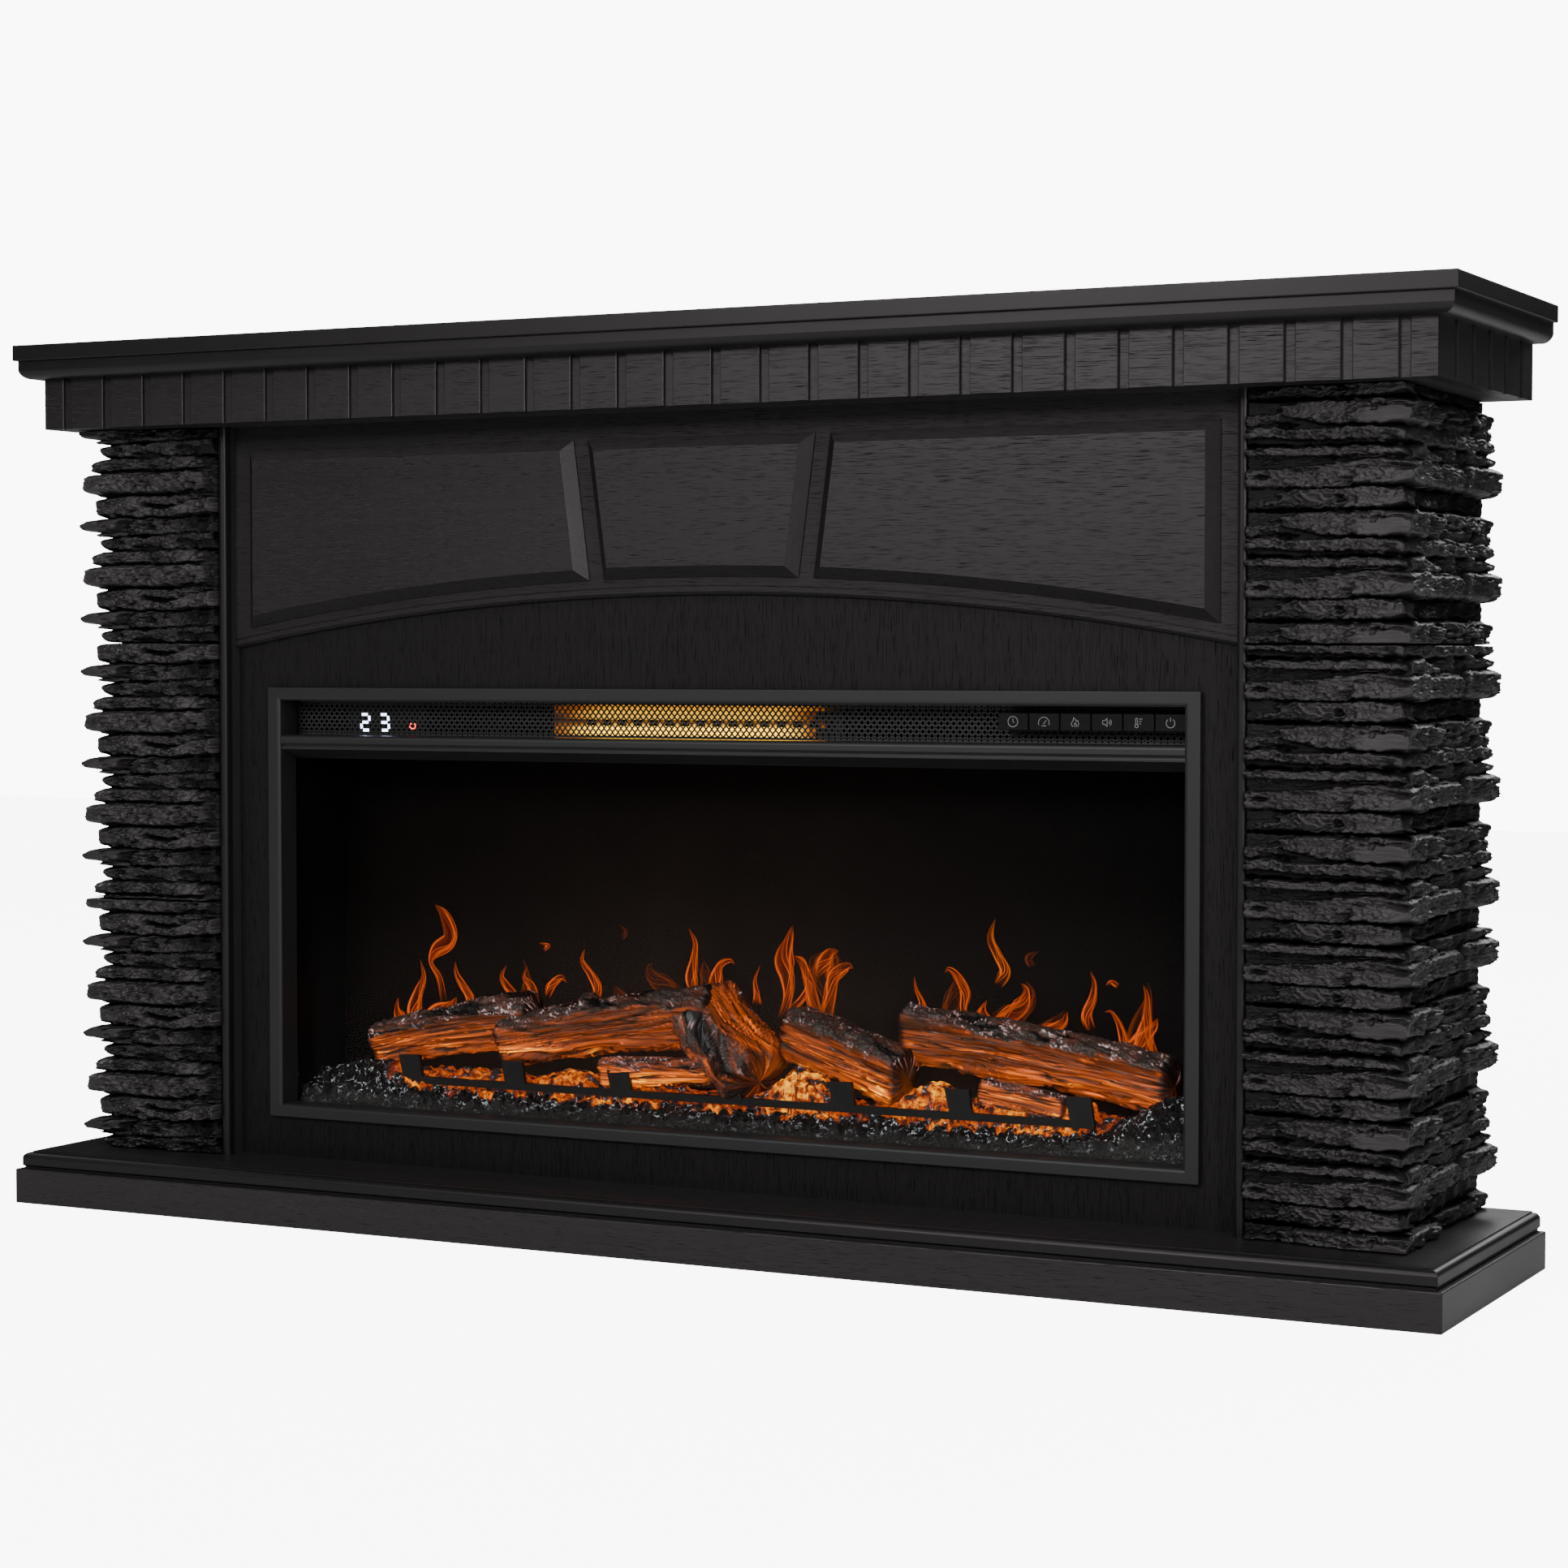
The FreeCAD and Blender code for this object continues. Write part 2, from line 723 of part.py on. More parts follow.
def tube_holders():
    """Ceramic end blocks of the two quartz tubes."""
    reach = 9.0
    low = tube_heights[0] - reach - 1.0
    high = tube_heights[1] + reach + 1.0
    solids = []
    for x in (tube_left_x - holder_width, tube_right_x):
        solids.append(box(x, x + holder_width, tube_y - reach, tube_y + reach, low, high))
    return group(solids)


def heater_reflector():
    """Folded bright sheet behind the tubes, open at the front."""
    metal = 1.0
    front = tube_y - 14.0
    rear = 0.0
    low = heater_shelf_z + sheet
    high = frame_inner_high
    corner_run = 8.0
    corner_rise = 10.0
    turn = rear - corner_run
    inner_turn = turn - metal / 2.0
    inner_rise = corner_rise + metal / 2.0
    outer = [(front, low), (turn, low), (rear, low + corner_rise), (rear, high - corner_rise),
             (turn, high), (front, high)]
    inner = [(front, high - metal), (inner_turn, high - metal), (rear - metal, high - inner_rise),
             (rear - metal, low + inner_rise), (inner_turn, low + metal), (front, low + metal)]
    body = along_x(outer + inner, tube_left_x - holder_width, tube_right_x + holder_width)
    slot_width = 12.0
    slot_pitch = 20.0
    slot_count = 16
    slot_margin = 16.0
    first = tube_left_x + 14.0
    slots = [box(first + index * slot_pitch, first + index * slot_pitch + slot_width,
                 rear - 3.0, rear + 1.0, low + slot_margin, high - slot_margin)
             for index in range(slot_count)]
    return body.cut(slots)


blower_y = 46.0
blower_z = 561.0
blower_radius = 20.0
blower_left_x = -204.0
blower_right_x = 136.0
shaft_radius = 2.5
running_gap = 0.05


def blower_housing():
    """Sheet duct round the cross-flow wheel, open towards the heater."""
    metal = 1.2
    front = 2.0
    rear = 76.0
    low = heater_shelf_z + sheet
    high = 589.0
    left = blower_left_x - 6.0
    right = blower_right_x + 6.0
    outer = box(left, right, front, rear, low, high)
    hollow = box(left + metal, right - metal, front - 1.0, rear - metal, low + metal, high - metal)
    inlet = box(left + 20.0, right - 20.0, rear - metal - 1.0, rear + 1.0, low + 14.0, high - 14.0)
    left_bore = rod((left - 1.0, blower_y, blower_z), axis_x, 6.0, metal + 2.0)
    right_bore = rod((right - metal - 1.0, blower_y, blower_z), axis_x, 4.0, metal + 2.0)
    return outer.cut([hollow, inlet, left_bore, right_bore])


def blower_wheel():
    """Cross-flow wheel: discs, a ring of slanted blades and a through shaft."""
    blade_count = 20
    blade_pitch_angle = 60.0
    blade_middle = vector(0, blower_y, blower_z + blower_radius - 3.5)
    disc_places = [blower_left_x, (blower_left_x + blower_right_x) / 2.0, blower_right_x - 2.0]
    centre = vector(0, blower_y, blower_z)
    pieces = [rod((x, blower_y, blower_z), axis_x, blower_radius, 2.0) for x in disc_places]
    for index in range(blade_count):
        blade = box(blower_left_x, blower_right_x, blower_y - 0.5, blower_y + 0.5,
                    blower_z + blower_radius - 6.5, blower_z + blower_radius - 0.5)
        blade.rotate(blade_middle, axis_x, blade_pitch_angle)
        blade.rotate(centre, axis_x, 360.0 * index / blade_count)
        pieces.append(blade)
    pieces.append(rod((blower_left_x - 10.0, blower_y, blower_z), axis_x, shaft_radius,
                      blower_right_x - blower_left_x + 34.0))
    return fuse(pieces)


def motor(x, y, z, radius, length, bore_depth):
    """Small shaded-pole motor can with a blind bore for its shaft."""
    can = rod((x, y, z), axis_x, radius, length)
    boss = rod((x - 3.0, y, z), axis_x, radius * 0.4, 3.0)
    bore = rod((x - 4.0, y, z), axis_x, shaft_radius + running_gap, bore_depth + 1.0)
    return fuse([can, boss]).cut(bore)


def blower_motor():
    return motor(blower_right_x + 9.5, blower_y, blower_z, 18.0, 38.0, 20.0)


def control_board():
    """Power board standing on the heater shelf, with relays and terminals."""
    left = 260.0
    width = 160.0
    height = 48.0
    front = 60.0
    face = front + board_metal
    low = heater_shelf_z + sheet
    relay = 18.0
    relay_depth = 16.4
    plate = box(left, left + width, front, face, low, low + height)
    relay_low = low + 12.0
    relay_high = relay_low + relay
    blocks = [box(left + start, left + start + relay, face, face + relay_depth, relay_low, relay_high)
              for start in (10.0, 40.0, 70.0)]
    terminal = box(left + width - 50.0, left + width - 10.0, face, face + 12.4, low + 6.0, low + 20.0)
    return fuse([plate, terminal] + blocks)


def speaker():
    """Small loudspeaker for the crackle sound, facing forward."""
    x = -300.0
    front = -20.0
    basket_depth = 4.0
    low = heater_shelf_z + sheet
    z = low + 24.0
    basket = rod((x, front, z), axis_y, 22.0, basket_depth)
    magnet = rod((x, front + basket_depth, z), axis_y, 12.0, 12.0)
    foot = box(x - 12.0, x + 12.0, front + 1.0, front + 8.0, low, z)
    return fuse([basket, magnet, foot])


# ---- insert: fuel bed and flame effect --------------------------------------------------
ember_front_y = -45.5
ember_rear_y = 48.0
ember_profile = [(ember_front_y, 124.0), (-38.0, 130.0), (-27.0, 139.0), (-16.0, 143.0),
                 (10.0, 145.0), (ember_rear_y, 145.0)]
# Raised coals: centre x, centre y, half length, half depth, top height.
ember_mounds = [(-470.0, -8.0, 92.0, 34.0, 163.0), (492.0, -14.0, 60.0, 40.0, 182.0)]
ember_mound_foot = 132.0
screen_y = 50.0
rotor_y = 86.0
rotor_z = 160.0
rotor_half = 500.0


def rectangle_wire(x, y, reach_x, reach_y, z):
    corners = [vector(x - reach_x, y - reach_y, z), vector(x + reach_x, y - reach_y, z),
               vector(x + reach_x, y + reach_y, z), vector(x - reach_x, y + reach_y, z)]
    return Part.makePolygon(corners + [corners[0]])


def ember_bed():
    """Banked moulded coal bed with raised ends, hollow over the light strip."""
    half = housing_inner_x - 1.0
    profile = [(ember_front_y, housing_floor)] + ember_profile + [(ember_rear_y, housing_floor)]
    pieces = [along_x(profile, -half, half)]
    for x, y, reach_x, reach_y, top in ember_mounds:
        foot = rectangle_wire(x, y, reach_x, reach_y, ember_mound_foot)
        crest = rectangle_wire(x, y, reach_x / 3.0, reach_y / 3.0, top)
        pieces.append(Part.makeLoft([foot, crest], True, True))
    solid = fuse(pieces)
    solid = solid.common(box(-half, half, ember_front_y, ember_rear_y, housing_floor, 200.0))
    channel = box(-half + 20.0, half - 20.0, -24.0, 22.0, housing_floor - 1.0, 130.0)
    return solid.cut(channel)


grate_front_y = -22.0
grate_bar = 8.0
grate_low = 146.5
grate_half = 432.0
tab_pitch = 138.3


def grate():
    """Fire-basket grate: front and rear bars, cross bars and leaning tabs."""
    high = grate_low + grate_bar
    rear = 36.0
    tab_metal = 5.0
    half_bar = grate_bar / 2.0
    pieces = [box(-grate_half, grate_half, grate_front_y, grate_front_y + grate_bar, grate_low, high),
              box(-grate_half, grate_half, rear - grate_bar, rear, grate_low, high)]
    for index in range(-3, 4):
        x = index * tab_pitch
        pieces.append(box(x - half_bar, x + half_bar, grate_front_y, rear, grate_low, high))
        outline = [(x - 15.0, high + 24.0), (x + 13.0, high + 25.0),
                   (x + 18.0, grate_low), (x - 8.0, grate_low)]
        points = [vector(px, grate_front_y, pz) for px, pz in outline]
        pieces.append(polygon_face(points).extrude(vector(0, tab_metal, 0)))
    return fuse(pieces)


def log_between(start, end, start_radius, end_radius):
    """Tapered round billet between two points."""
    first = vector(*start)
    span = vector(*end) - first
    return Part.makeCone(start_radius, end_radius, span.Length, first, span)


def fuel_logs(obstacles):
    """Logs in stacking order; each later one is notched where it meets the others."""
    long_log = log_between((-300, 0, 196), (-32, 12, 236), 28, 32)
    stub = log_between((-196, 0, 214), (-192, -14, 246), 19, 17)
    pieces = [
        ("log_crossing", [log_between((-14, 30, 238), (24, -14, 182), 34, 32)]),
        ("log_long", [fuse([long_log, stub])]),
        ("log_left", [log_between((-474, 4, 184), (-262, 22, 222), 25, 31)]),
        ("log_middle", [log_between((62, 14, 224), (204, 0, 190), 28, 34)]),
        ("log_right", [log_between((200, 14, 228), (506, 2, 198), 29, 27)]),
        ("small_logs", [log_between((-120, 36, 240), (-40, 36, 252), 13, 12),
                        log_between((-166, -4, 171.5), (-24, -6, 175), 14.5, 13.5),
                        log_between((296, -4, 176), (392, -6, 168), 15, 13)]),
    ]
    taken = list(obstacles)
    result = {}
    for name, solids in pieces:
        kept = []
        for solid in solids:
            trimmed = solid.cut(taken)
            largest = max(trimmed.Solids, key=lambda piece: piece.Volume)
            kept.append(largest)
            taken.append(largest)
        result[name] = group(kept)
    return result


def flame_screen():
    """Diffusing screen that shows the flame picture."""
    half = housing_inner_x - 0.5
    return box(-half, half, screen_y, screen_y + 3.0, housing_floor, heater_shelf_z - 0.5)


def flame_rotor():
    """Spindle with bright paddles that throw moving light on the screen."""
    centre = vector(0, rotor_y, rotor_z)
    pieces = [rod((-rotor_half - 14.0, rotor_y, rotor_z), axis_x, shaft_radius, 2 * rotor_half + 26.0)]
    count = 20
    pitch = 2.0 * rotor_half / count
    for index in range(count):
        x = -rotor_half + (index + 0.5) * pitch
        paddle = box(x - pitch * 0.36, x + pitch * 0.36, rotor_y - 0.4, rotor_y + 0.4,
                     rotor_z - 14.0, rotor_z + 14.0)
        paddle.rotate(centre, axis_x, 36.0 * index)
        pieces.append(paddle)
    return fuse(pieces)


def rotor_motor():
    body = motor(rotor_half + 3.5, rotor_y, rotor_z, 15.0, 34.0, 16.0)
    foot = box(rotor_half + 6.0, rotor_half + 34.0, rotor_y - 12.0, rotor_y + 12.0,
               housing_floor, rotor_z - 10.0)
    return fuse([body, foot]).cut(rod((rotor_half - 1.0, rotor_y, rotor_z), axis_x,
                                      shaft_radius + running_gap, 18.5))


def shaft_bushes():
    """Plain bushes at the free ends of the two spindles."""
    left = blower_left_x - 10.0
    blower_bush = ring((left, blower_y, blower_z), axis_x, 5.9, shaft_radius + running_gap, 8.0)
    rotor_left = -rotor_half - 14.0
    rotor_bush = ring((rotor_left, rotor_y, rotor_z), axis_x, 5.9, shaft_radius + running_gap, 8.0)
    foot = box(rotor_left, rotor_left + 8.0, rotor_y - 8.0, rotor_y + 8.0, housing_floor, rotor_z)
    foot = foot.cut(rod((rotor_left - 1.0, rotor_y, rotor_z), axis_x, 5.8, 10.0))
    return group([blower_bush, fuse([rotor_bush, foot])])


def led_strips():
    """Light strips: one under the coal bed, one under the flame rotor."""
    solids = []
    for y in (-2.0, 64.0):
        plate = box(-480.0, 480.0, y - 5.0, y + 5.0, housing_floor, housing_floor + board_metal)
        domes = [rod((x, y, housing_floor + board_metal), axis_z, 2.5, 4.0) for x in range(-460, 480, 40)]
        solids.append(fuse([plate] + domes))
    return group(solids)


# ---- build everything -----------------------------------------------------------------------
def main():
    export("mantel_top", mantel_top())
    export("crown_moulding", crown_moulding())
    export("frieze_front", frieze_front())
    export("frieze_sides", frieze_sides())
    export("frieze_soffit", frieze_soffit())
    export("plinth_slab", plinth_slab())
    export("plinth_deck", plinth_deck())
    export("plinth_moulding", plinth_moulding())
    export("rear_rails", rear_rails())
    export("wall_brackets", wall_brackets())
    export("pan_head_screws", pan_head_screws())

    carcass = column_carcass()
    export("column_carcass_right", group(carcass))
    export("column_carcass_left", group([mirrored(solid) for solid in carcass]))
    export("column_trims", column_trims())
    stones = stone_cladding()
    export("stone_cladding_right", group(stones))
    export("stone_cladding_left", group([mirrored(solid) for solid in stones]))

    export("fascia_board", fascia_board())
    export("arch_header", arch_header())
    right_panel = side_panel()
    export("raised_panel_right", right_panel)
    export("raised_panel_left", mirrored(right_panel))
    export("keystone_panel", keystone_panel())

    export("insert_trim_frame", insert_trim_frame())
    export("divider_bar", divider_bar())
    export("glass_pane", glass_pane())
    export("housing_tray", housing_tray())
    export("housing_top", housing_top())
    export("rear_cover", rear_cover())
    export("cable_gland", cable_gland())
    export("heater_shelf", heater_shelf())

    export("vent_mesh", vent_mesh())
    for index, name in enumerate(key_names):
        export("key_" + name, key(index))
    export("key_guide_plate", key_guide_plate())
    export("key_circuit_board", key_circuit_board())
    export("display_module", display_module())
    export("heating_tubes", heating_tubes())
    export("tube_holders", tube_holders())
    export("heater_reflector", heater_reflector())
    export("blower_housing", blower_housing())
    export("blower_wheel", blower_wheel())
    export("blower_motor", blower_motor())
    export("control_board", control_board())
    export("speaker", speaker())

    bed = ember_bed()
    basket = grate()
    bed = bed.cut(basket)
    export("ember_bed", bed)
    export("grate", basket)
    screen = flame_screen()
    for name, shape in fuel_logs([bed, basket, screen]).items():
        export(name, shape)
    export("flame_screen", screen)
    export("flame_rotor", flame_rotor())
    export("rotor_motor", rotor_motor())
    export("shaft_bushes", shaft_bushes())
    export("led_strips", led_strips())


main()
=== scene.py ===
import math

import bpy
import numpy as np
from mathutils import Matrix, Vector


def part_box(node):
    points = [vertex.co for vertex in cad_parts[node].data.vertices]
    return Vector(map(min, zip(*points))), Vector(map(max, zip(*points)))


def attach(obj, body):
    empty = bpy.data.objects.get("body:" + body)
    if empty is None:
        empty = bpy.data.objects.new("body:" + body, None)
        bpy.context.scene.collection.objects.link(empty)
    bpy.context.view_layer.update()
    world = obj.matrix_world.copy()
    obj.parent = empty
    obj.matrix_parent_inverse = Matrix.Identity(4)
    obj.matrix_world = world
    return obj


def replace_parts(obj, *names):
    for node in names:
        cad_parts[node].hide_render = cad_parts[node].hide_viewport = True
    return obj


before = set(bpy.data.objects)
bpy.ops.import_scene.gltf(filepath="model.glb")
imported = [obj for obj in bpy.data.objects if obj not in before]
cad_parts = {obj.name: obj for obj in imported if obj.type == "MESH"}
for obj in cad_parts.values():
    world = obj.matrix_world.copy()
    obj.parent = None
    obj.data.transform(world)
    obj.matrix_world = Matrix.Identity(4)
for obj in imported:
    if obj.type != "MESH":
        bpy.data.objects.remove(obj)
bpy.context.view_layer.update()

# Looks of a mantel with a built-in electric fire. Objects are in metres, in the part's own frame.
# Shapes made from arrays are worked out in millimetres and are scaled by MM for their mesh.
ROOT = "fireplace"
MM = 0.001


# ---- smooth noise that is the same on every run ----
def hashed(a, b, seed):
    """Repeatable value from -1 to 1 for each pair of whole numbers."""
    low_bits = 0xFFFFFFFF
    h = (a.astype(np.int64) * 374761393 + b.astype(np.int64) * 668265263 + seed * 974634777) & low_bits
    h = ((h ^ (h >> 13)) * 1274126177) & low_bits
    return ((h ^ (h >> 16)) & 0xFFFF) / 32767.5 - 1.0


def noise(u, v, seed):
    """Smooth value noise from -1 to 1."""
    iu = np.floor(u)
    iv = np.floor(v)
    fu = u - iu
    fv = v - iv
    fu = fu * fu * (3.0 - 2.0 * fu)
    fv = fv * fv * (3.0 - 2.0 * fv)
    low = hashed(iu, iv, seed) * (1.0 - fu) + hashed(iu + 1, iv, seed) * fu
    high = hashed(iu, iv + 1, seed) * (1.0 - fu) + hashed(iu + 1, iv + 1, seed) * fu
    return low * (1.0 - fv) + high * fv


def layered(u, v, seed, octaves):
    """Sum of octaves of noise, each twice as fine and half as strong as the last."""
    total = np.zeros(np.broadcast(u, v).shape)
    strength = 1.0
    weight = 0.0
    for octave in range(octaves):
        scale = 2.0 ** octave
        total += strength * noise(u * scale + 17.3 * octave, v * scale + 9.1 * octave, seed + octave)
        weight += strength
        strength *= 0.5
    return total / weight


def smooth_step(low, high, value):
    """Rises smoothly from 0 at low to 1 at high, or falls where low is the larger."""
    t = np.clip((value - low) / (high - low), 0.0, 1.0)
    return t * t * (3.0 - 2.0 * t)


# ---- mesh helpers ----
def new_object(name, vertices, faces, material, smooth=True, body=ROOT, uv=None):
    """Mesh object that rides on a body and carries the given material."""
    mesh = bpy.data.meshes.new(name)
    mesh.from_pydata([tuple(v) for v in vertices], [], [tuple(f) for f in faces])
    mesh.validate()
    if smooth:
        mesh.shade_smooth()
    if uv is not None:
        layer = mesh.uv_layers.new(name="UVMap")
        corners = np.zeros(len(mesh.loops), np.int32)
        mesh.loops.foreach_get("vertex_index", corners)
        layer.data.foreach_set("uv", uv[corners].astype(np.float32).ravel())
    mesh.materials.append(material)
    obj = bpy.data.objects.new(name, mesh)
    bpy.context.scene.collection.objects.link(obj)
    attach(obj, body)
    return obj


def grid_faces(rows, columns, wrap=False):
    """Quads of a grid of rows by columns of points, joined round when wrap is set."""
    r = np.arange(rows - 1)[:, None]
    c = np.arange(columns if wrap else columns - 1)[None, :]
    n = (c + 1) % columns
    below = r * columns
    above = (r + 1) * columns
    return np.stack([below + c, below + n, above + n, above + c], axis=-1).reshape(-1, 4)


def grid_object(name, points, material, masks, flip=False, uv=None, wrap=False):
    """Object from a rows by columns by 3 array of millimetre points, with a value per point for each mask."""
    faces = grid_faces(*points.shape[:2], wrap)
    if flip:
        faces = faces[:, ::-1]
    obj = new_object(name, (points * MM).reshape(-1, 3), faces, material, uv=uv)
    for key, values in masks.items():
        attribute = obj.data.attributes.new(key, "FLOAT", "POINT")
        attribute.data.foreach_set("value", values.astype(np.float32).ravel())
    return obj


# ---- material helpers ----
def rgba(r, g, b):
    return (r, g, b, 1.0)


def toned(tone, *shares):
    """Colour whose three channels are shares of one tone."""
    return rgba(*(tone * share for share in shares))


def scaled(colour, share):
    """Colour made lighter or darker."""
    return rgba(*(channel * share for channel in colour))


WHITE = rgba(1.0, 1.0, 1.0)
WARM_SHEEN = rgba(1.0, 0.92, 0.96)


class Paint:
    """A node material with short calls for its nodes."""

    def __init__(self, name):
        self.material = bpy.data.materials.new(name)
        self.material.use_nodes = True
        self.tree = self.material.node_tree
        self.shader = self.tree.nodes["Principled BSDF"]
        self.coords = self.tree.nodes.new("ShaderNodeTexCoord").outputs

    def node(self, kind, inputs=None, **settings):
        made = self.tree.nodes.new("ShaderNode" + kind)
        for key, value in settings.items():
            setattr(made, key, value)
        for key, value in (inputs or {}).items():
            self.feed(made.inputs[key], value)
        return made

    def feed(self, socket, value):
        """Links a socket, or sets its value."""
        if isinstance(value, bpy.types.NodeSocket):
            self.tree.links.new(value, socket)
        else:
            socket.default_value = value

    def set(self, **values):
        """Feeds inputs of the surface shader."""
        for key, value in values.items():
            self.feed(self.shader.inputs[key.replace("_", " ")], value)

    def noise(self, scale, detail=4.0, rough=0.55, vector=None):
        """Noise in object space, or along another vector."""
        place = vector or self.coords["Object"]
        inputs = {"Vector": place, "Scale": scale, "Detail": detail, "Roughness": rough}
        return self.node("TexNoise", inputs).outputs["Fac"]

    def streaks(self, scale, detail=4.0, rough=0.55, source="Object"):
        """Noise with its own scale on each axis."""
        stretched = self.node("Mapping", {"Vector": self.coords[source], "Scale": scale})
        return self.noise(1.0, detail, rough, stretched.outputs["Vector"])

    def axes(self, vector):
        return self.node("SeparateXYZ", {"Vector": vector}).outputs

    def attribute(self, name):
        return self.node("Attribute", attribute_name=name).outputs["Fac"]

    def ramp(self, factor, *stops):
        """Colour ramp; each stop is a position and a colour, or one number for a grey."""
        made = self.node("ValToRGB", {"Fac": factor})
        elements = made.color_ramp.elements
        while len(elements) < len(stops):
            elements.new(0.5)
        for element, (position, colour) in zip(elements, stops):
            element.position = position
            element.color = rgba(*colour) if isinstance(colour, tuple) else rgba(colour, colour, colour)
        return made.outputs["Color"]

    def grey(self, factor, low, high, start=0.0, end=1.0):
        """Maps start to end onto low to high, held at both ends."""
        inputs = {"Value": factor, "From Min": start, "From Max": end, "To Min": low, "To Max": high}
        return self.node("MapRange", inputs).outputs["Result"]

    def math(self, operation, a, b=0.5):
        made = self.node("Math", operation=operation)
        self.feed(made.inputs[0], a)
        self.feed(made.inputs[1], b)
        return made.outputs[0]

    def times(self, product, *factors):
        for factor in factors:
            product = self.math("MULTIPLY", product, factor)
        return product

    def away(self, value, middle):
        """Distance of a value from a middle one."""
        return self.math("ABSOLUTE", self.math("SUBTRACT", value, middle))

    def mix(self, factor, a, b):
        made = self.node("Mix", data_type="RGBA")
        self.feed(made.inputs["Factor"], factor)
        self.feed(made.inputs[6], a)
        self.feed(made.inputs[7], b)
        return made.outputs[2]

    def bump(self, height, strength, distance, normal=None):
        inputs = {"Height": height, "Strength": strength, "Distance": distance}
        if normal is not None:
            inputs["Normal"] = normal
        return self.node("Bump", inputs).outputs["Normal"]

    def see_through(self, cover, surface, tint):
        """Replaces the surface shader by a clear one that is covered by another, as much as cover says."""
        mixed = self.node("MixShader")
        clear = self.node("BsdfTransparent", {"Color": tint})
        for socket, value in zip(mixed.inputs, (cover, clear.outputs[0], surface.outputs[0])):
            self.feed(socket, value)
        self.feed(self.tree.nodes["Material Output"].inputs["Surface"], mixed.outputs[0])
        self.tree.nodes.remove(self.shader)


# ---- materials ----
def veneer(name, grain, tone, pore_strength, roughness, gloss, dust_and_top_light=0.0):
    """Black-stained open-pore veneer; grain is the axis that the pores run along. The last argument sets
    painted top light: surfaces that face up turn paler.
    """
    paint = Paint(name)
    along = 46.0
    across = 1900.0
    scales = [along if axis == grain else across for axis in "xyz"]
    pores = paint.streaks(scales, 2.0, 0.5)
    broad = paint.streaks([scale / 14.0 for scale in scales], 3.0)
    cloud = paint.noise(3.0, 3.0)
    pit = paint.ramp(pores, (0.33, 0.0), (0.42, 1.0))
    tint = paint.mix(broad, toned(tone, 0.80, 0.72, 0.78), toned(tone, 1.30, 1.17, 1.28))
    # Painted top light: surfaces that face up, such as the top bevels of the raised panels, are mixed towards
    # a paler grey.
    slope = paint.axes(paint.node("NewGeometry").outputs["Normal"])["Z"]
    tint = paint.mix(paint.grey(slope, 0.0, dust_and_top_light, 0.3, 0.7), tint, rgba(0.060, 0.055, 0.058))
    paint.set(Base_Color=paint.mix(pit, toned(tone, 0.35, 0.32, 0.35), tint))
    rough = paint.grey(cloud, roughness - 0.05, roughness + 0.08)
    paint.set(Roughness=paint.math("ADD", rough, paint.grey(pit, 0.20, 0.0)),
              Specular_IOR_Level=paint.grey(pit, gloss * 0.35, gloss), Specular_Tint=WARM_SHEEN,
              Normal=paint.bump(pit, pore_strength, 0.0003))
    return paint.material


def lacquer(name, tone, roughness):
    """Smooth satin black lacquer with faint brush-out, dust and wear."""
    paint = Paint(name)
    cloud = paint.noise(6.0, 5.0)
    fine = paint.streaks((60.0, 1400.0, 1400.0), 2.0)
    paint.set(Base_Color=paint.mix(cloud, toned(tone, 0.9, 0.85, 0.9), toned(tone, 1.2, 1.13, 1.22)),
              Roughness=paint.grey(cloud, roughness - 0.05, roughness + 0.09), Specular_IOR_Level=0.38,
              Specular_Tint=WARM_SHEEN, Normal=paint.bump(fine, 0.10, 0.0003))
    return paint.material


def powder_coat(name, colour, roughness=0.42):
    """Fine-textured powder coat."""
    paint = Paint(name)
    texture = paint.noise(1500.0, 2.0)
    cloud = paint.noise(9.0, 4.0)
    paint.set(Base_Color=paint.mix(cloud, scaled(colour, 0.88), scaled(colour, 1.14)),
              Roughness=paint.grey(texture, roughness - 0.06, roughness + 0.1), Metallic=0.0,
              Specular_IOR_Level=0.5, Normal=paint.bump(texture, 0.35, 0.0002))
    return paint.material


def metal(name, colour, roughness):
    """Bare metal with drawn lines along X and slight tarnish."""
    paint = Paint(name)
    lines = paint.streaks((40.0, 900.0, 900.0), 3.0)
    cloud = paint.noise(18.0, 5.0)
    paint.set(Base_Color=paint.mix(cloud, scaled(colour, 0.7), rgba(*colour)), Metallic=1.0,
              Roughness=paint.grey(lines, roughness - 0.08, roughness + 0.12),
              Normal=paint.bump(lines, 0.15, 0.0002))
    return paint.material


def plastic(name, colour, roughness, grain=1200.0, strength=0.15, gloss=0.5):
    """Moulded plastic with a light spark texture."""
    paint = Paint(name)
    texture = paint.noise(grain, 2.0)
    cloud = paint.noise(25.0, 4.0)
    paint.set(Base_Color=paint.mix(cloud, scaled(colour, 0.85), scaled(colour, 1.15)),
              Roughness=paint.grey(cloud, roughness - 0.05, roughness + 0.1), Specular_IOR_Level=gloss,
              Normal=paint.bump(texture, strength, 0.0002))
    return paint.material


def light_paint(name, colour, strength):
    """Mark with a slightly uneven glow: lit marks glow of themselves, and on printed marks the glow is
    painted.
    """
    paint = Paint(name)
    cloud = paint.noise(400.0, 2.0)
    paint.set(Base_Color=rgba(*colour), Emission_Color=paint.mix(cloud, scaled(colour, 0.8), rgba(*colour)),
              Emission_Strength=strength, Roughness=0.5)
    return paint.material


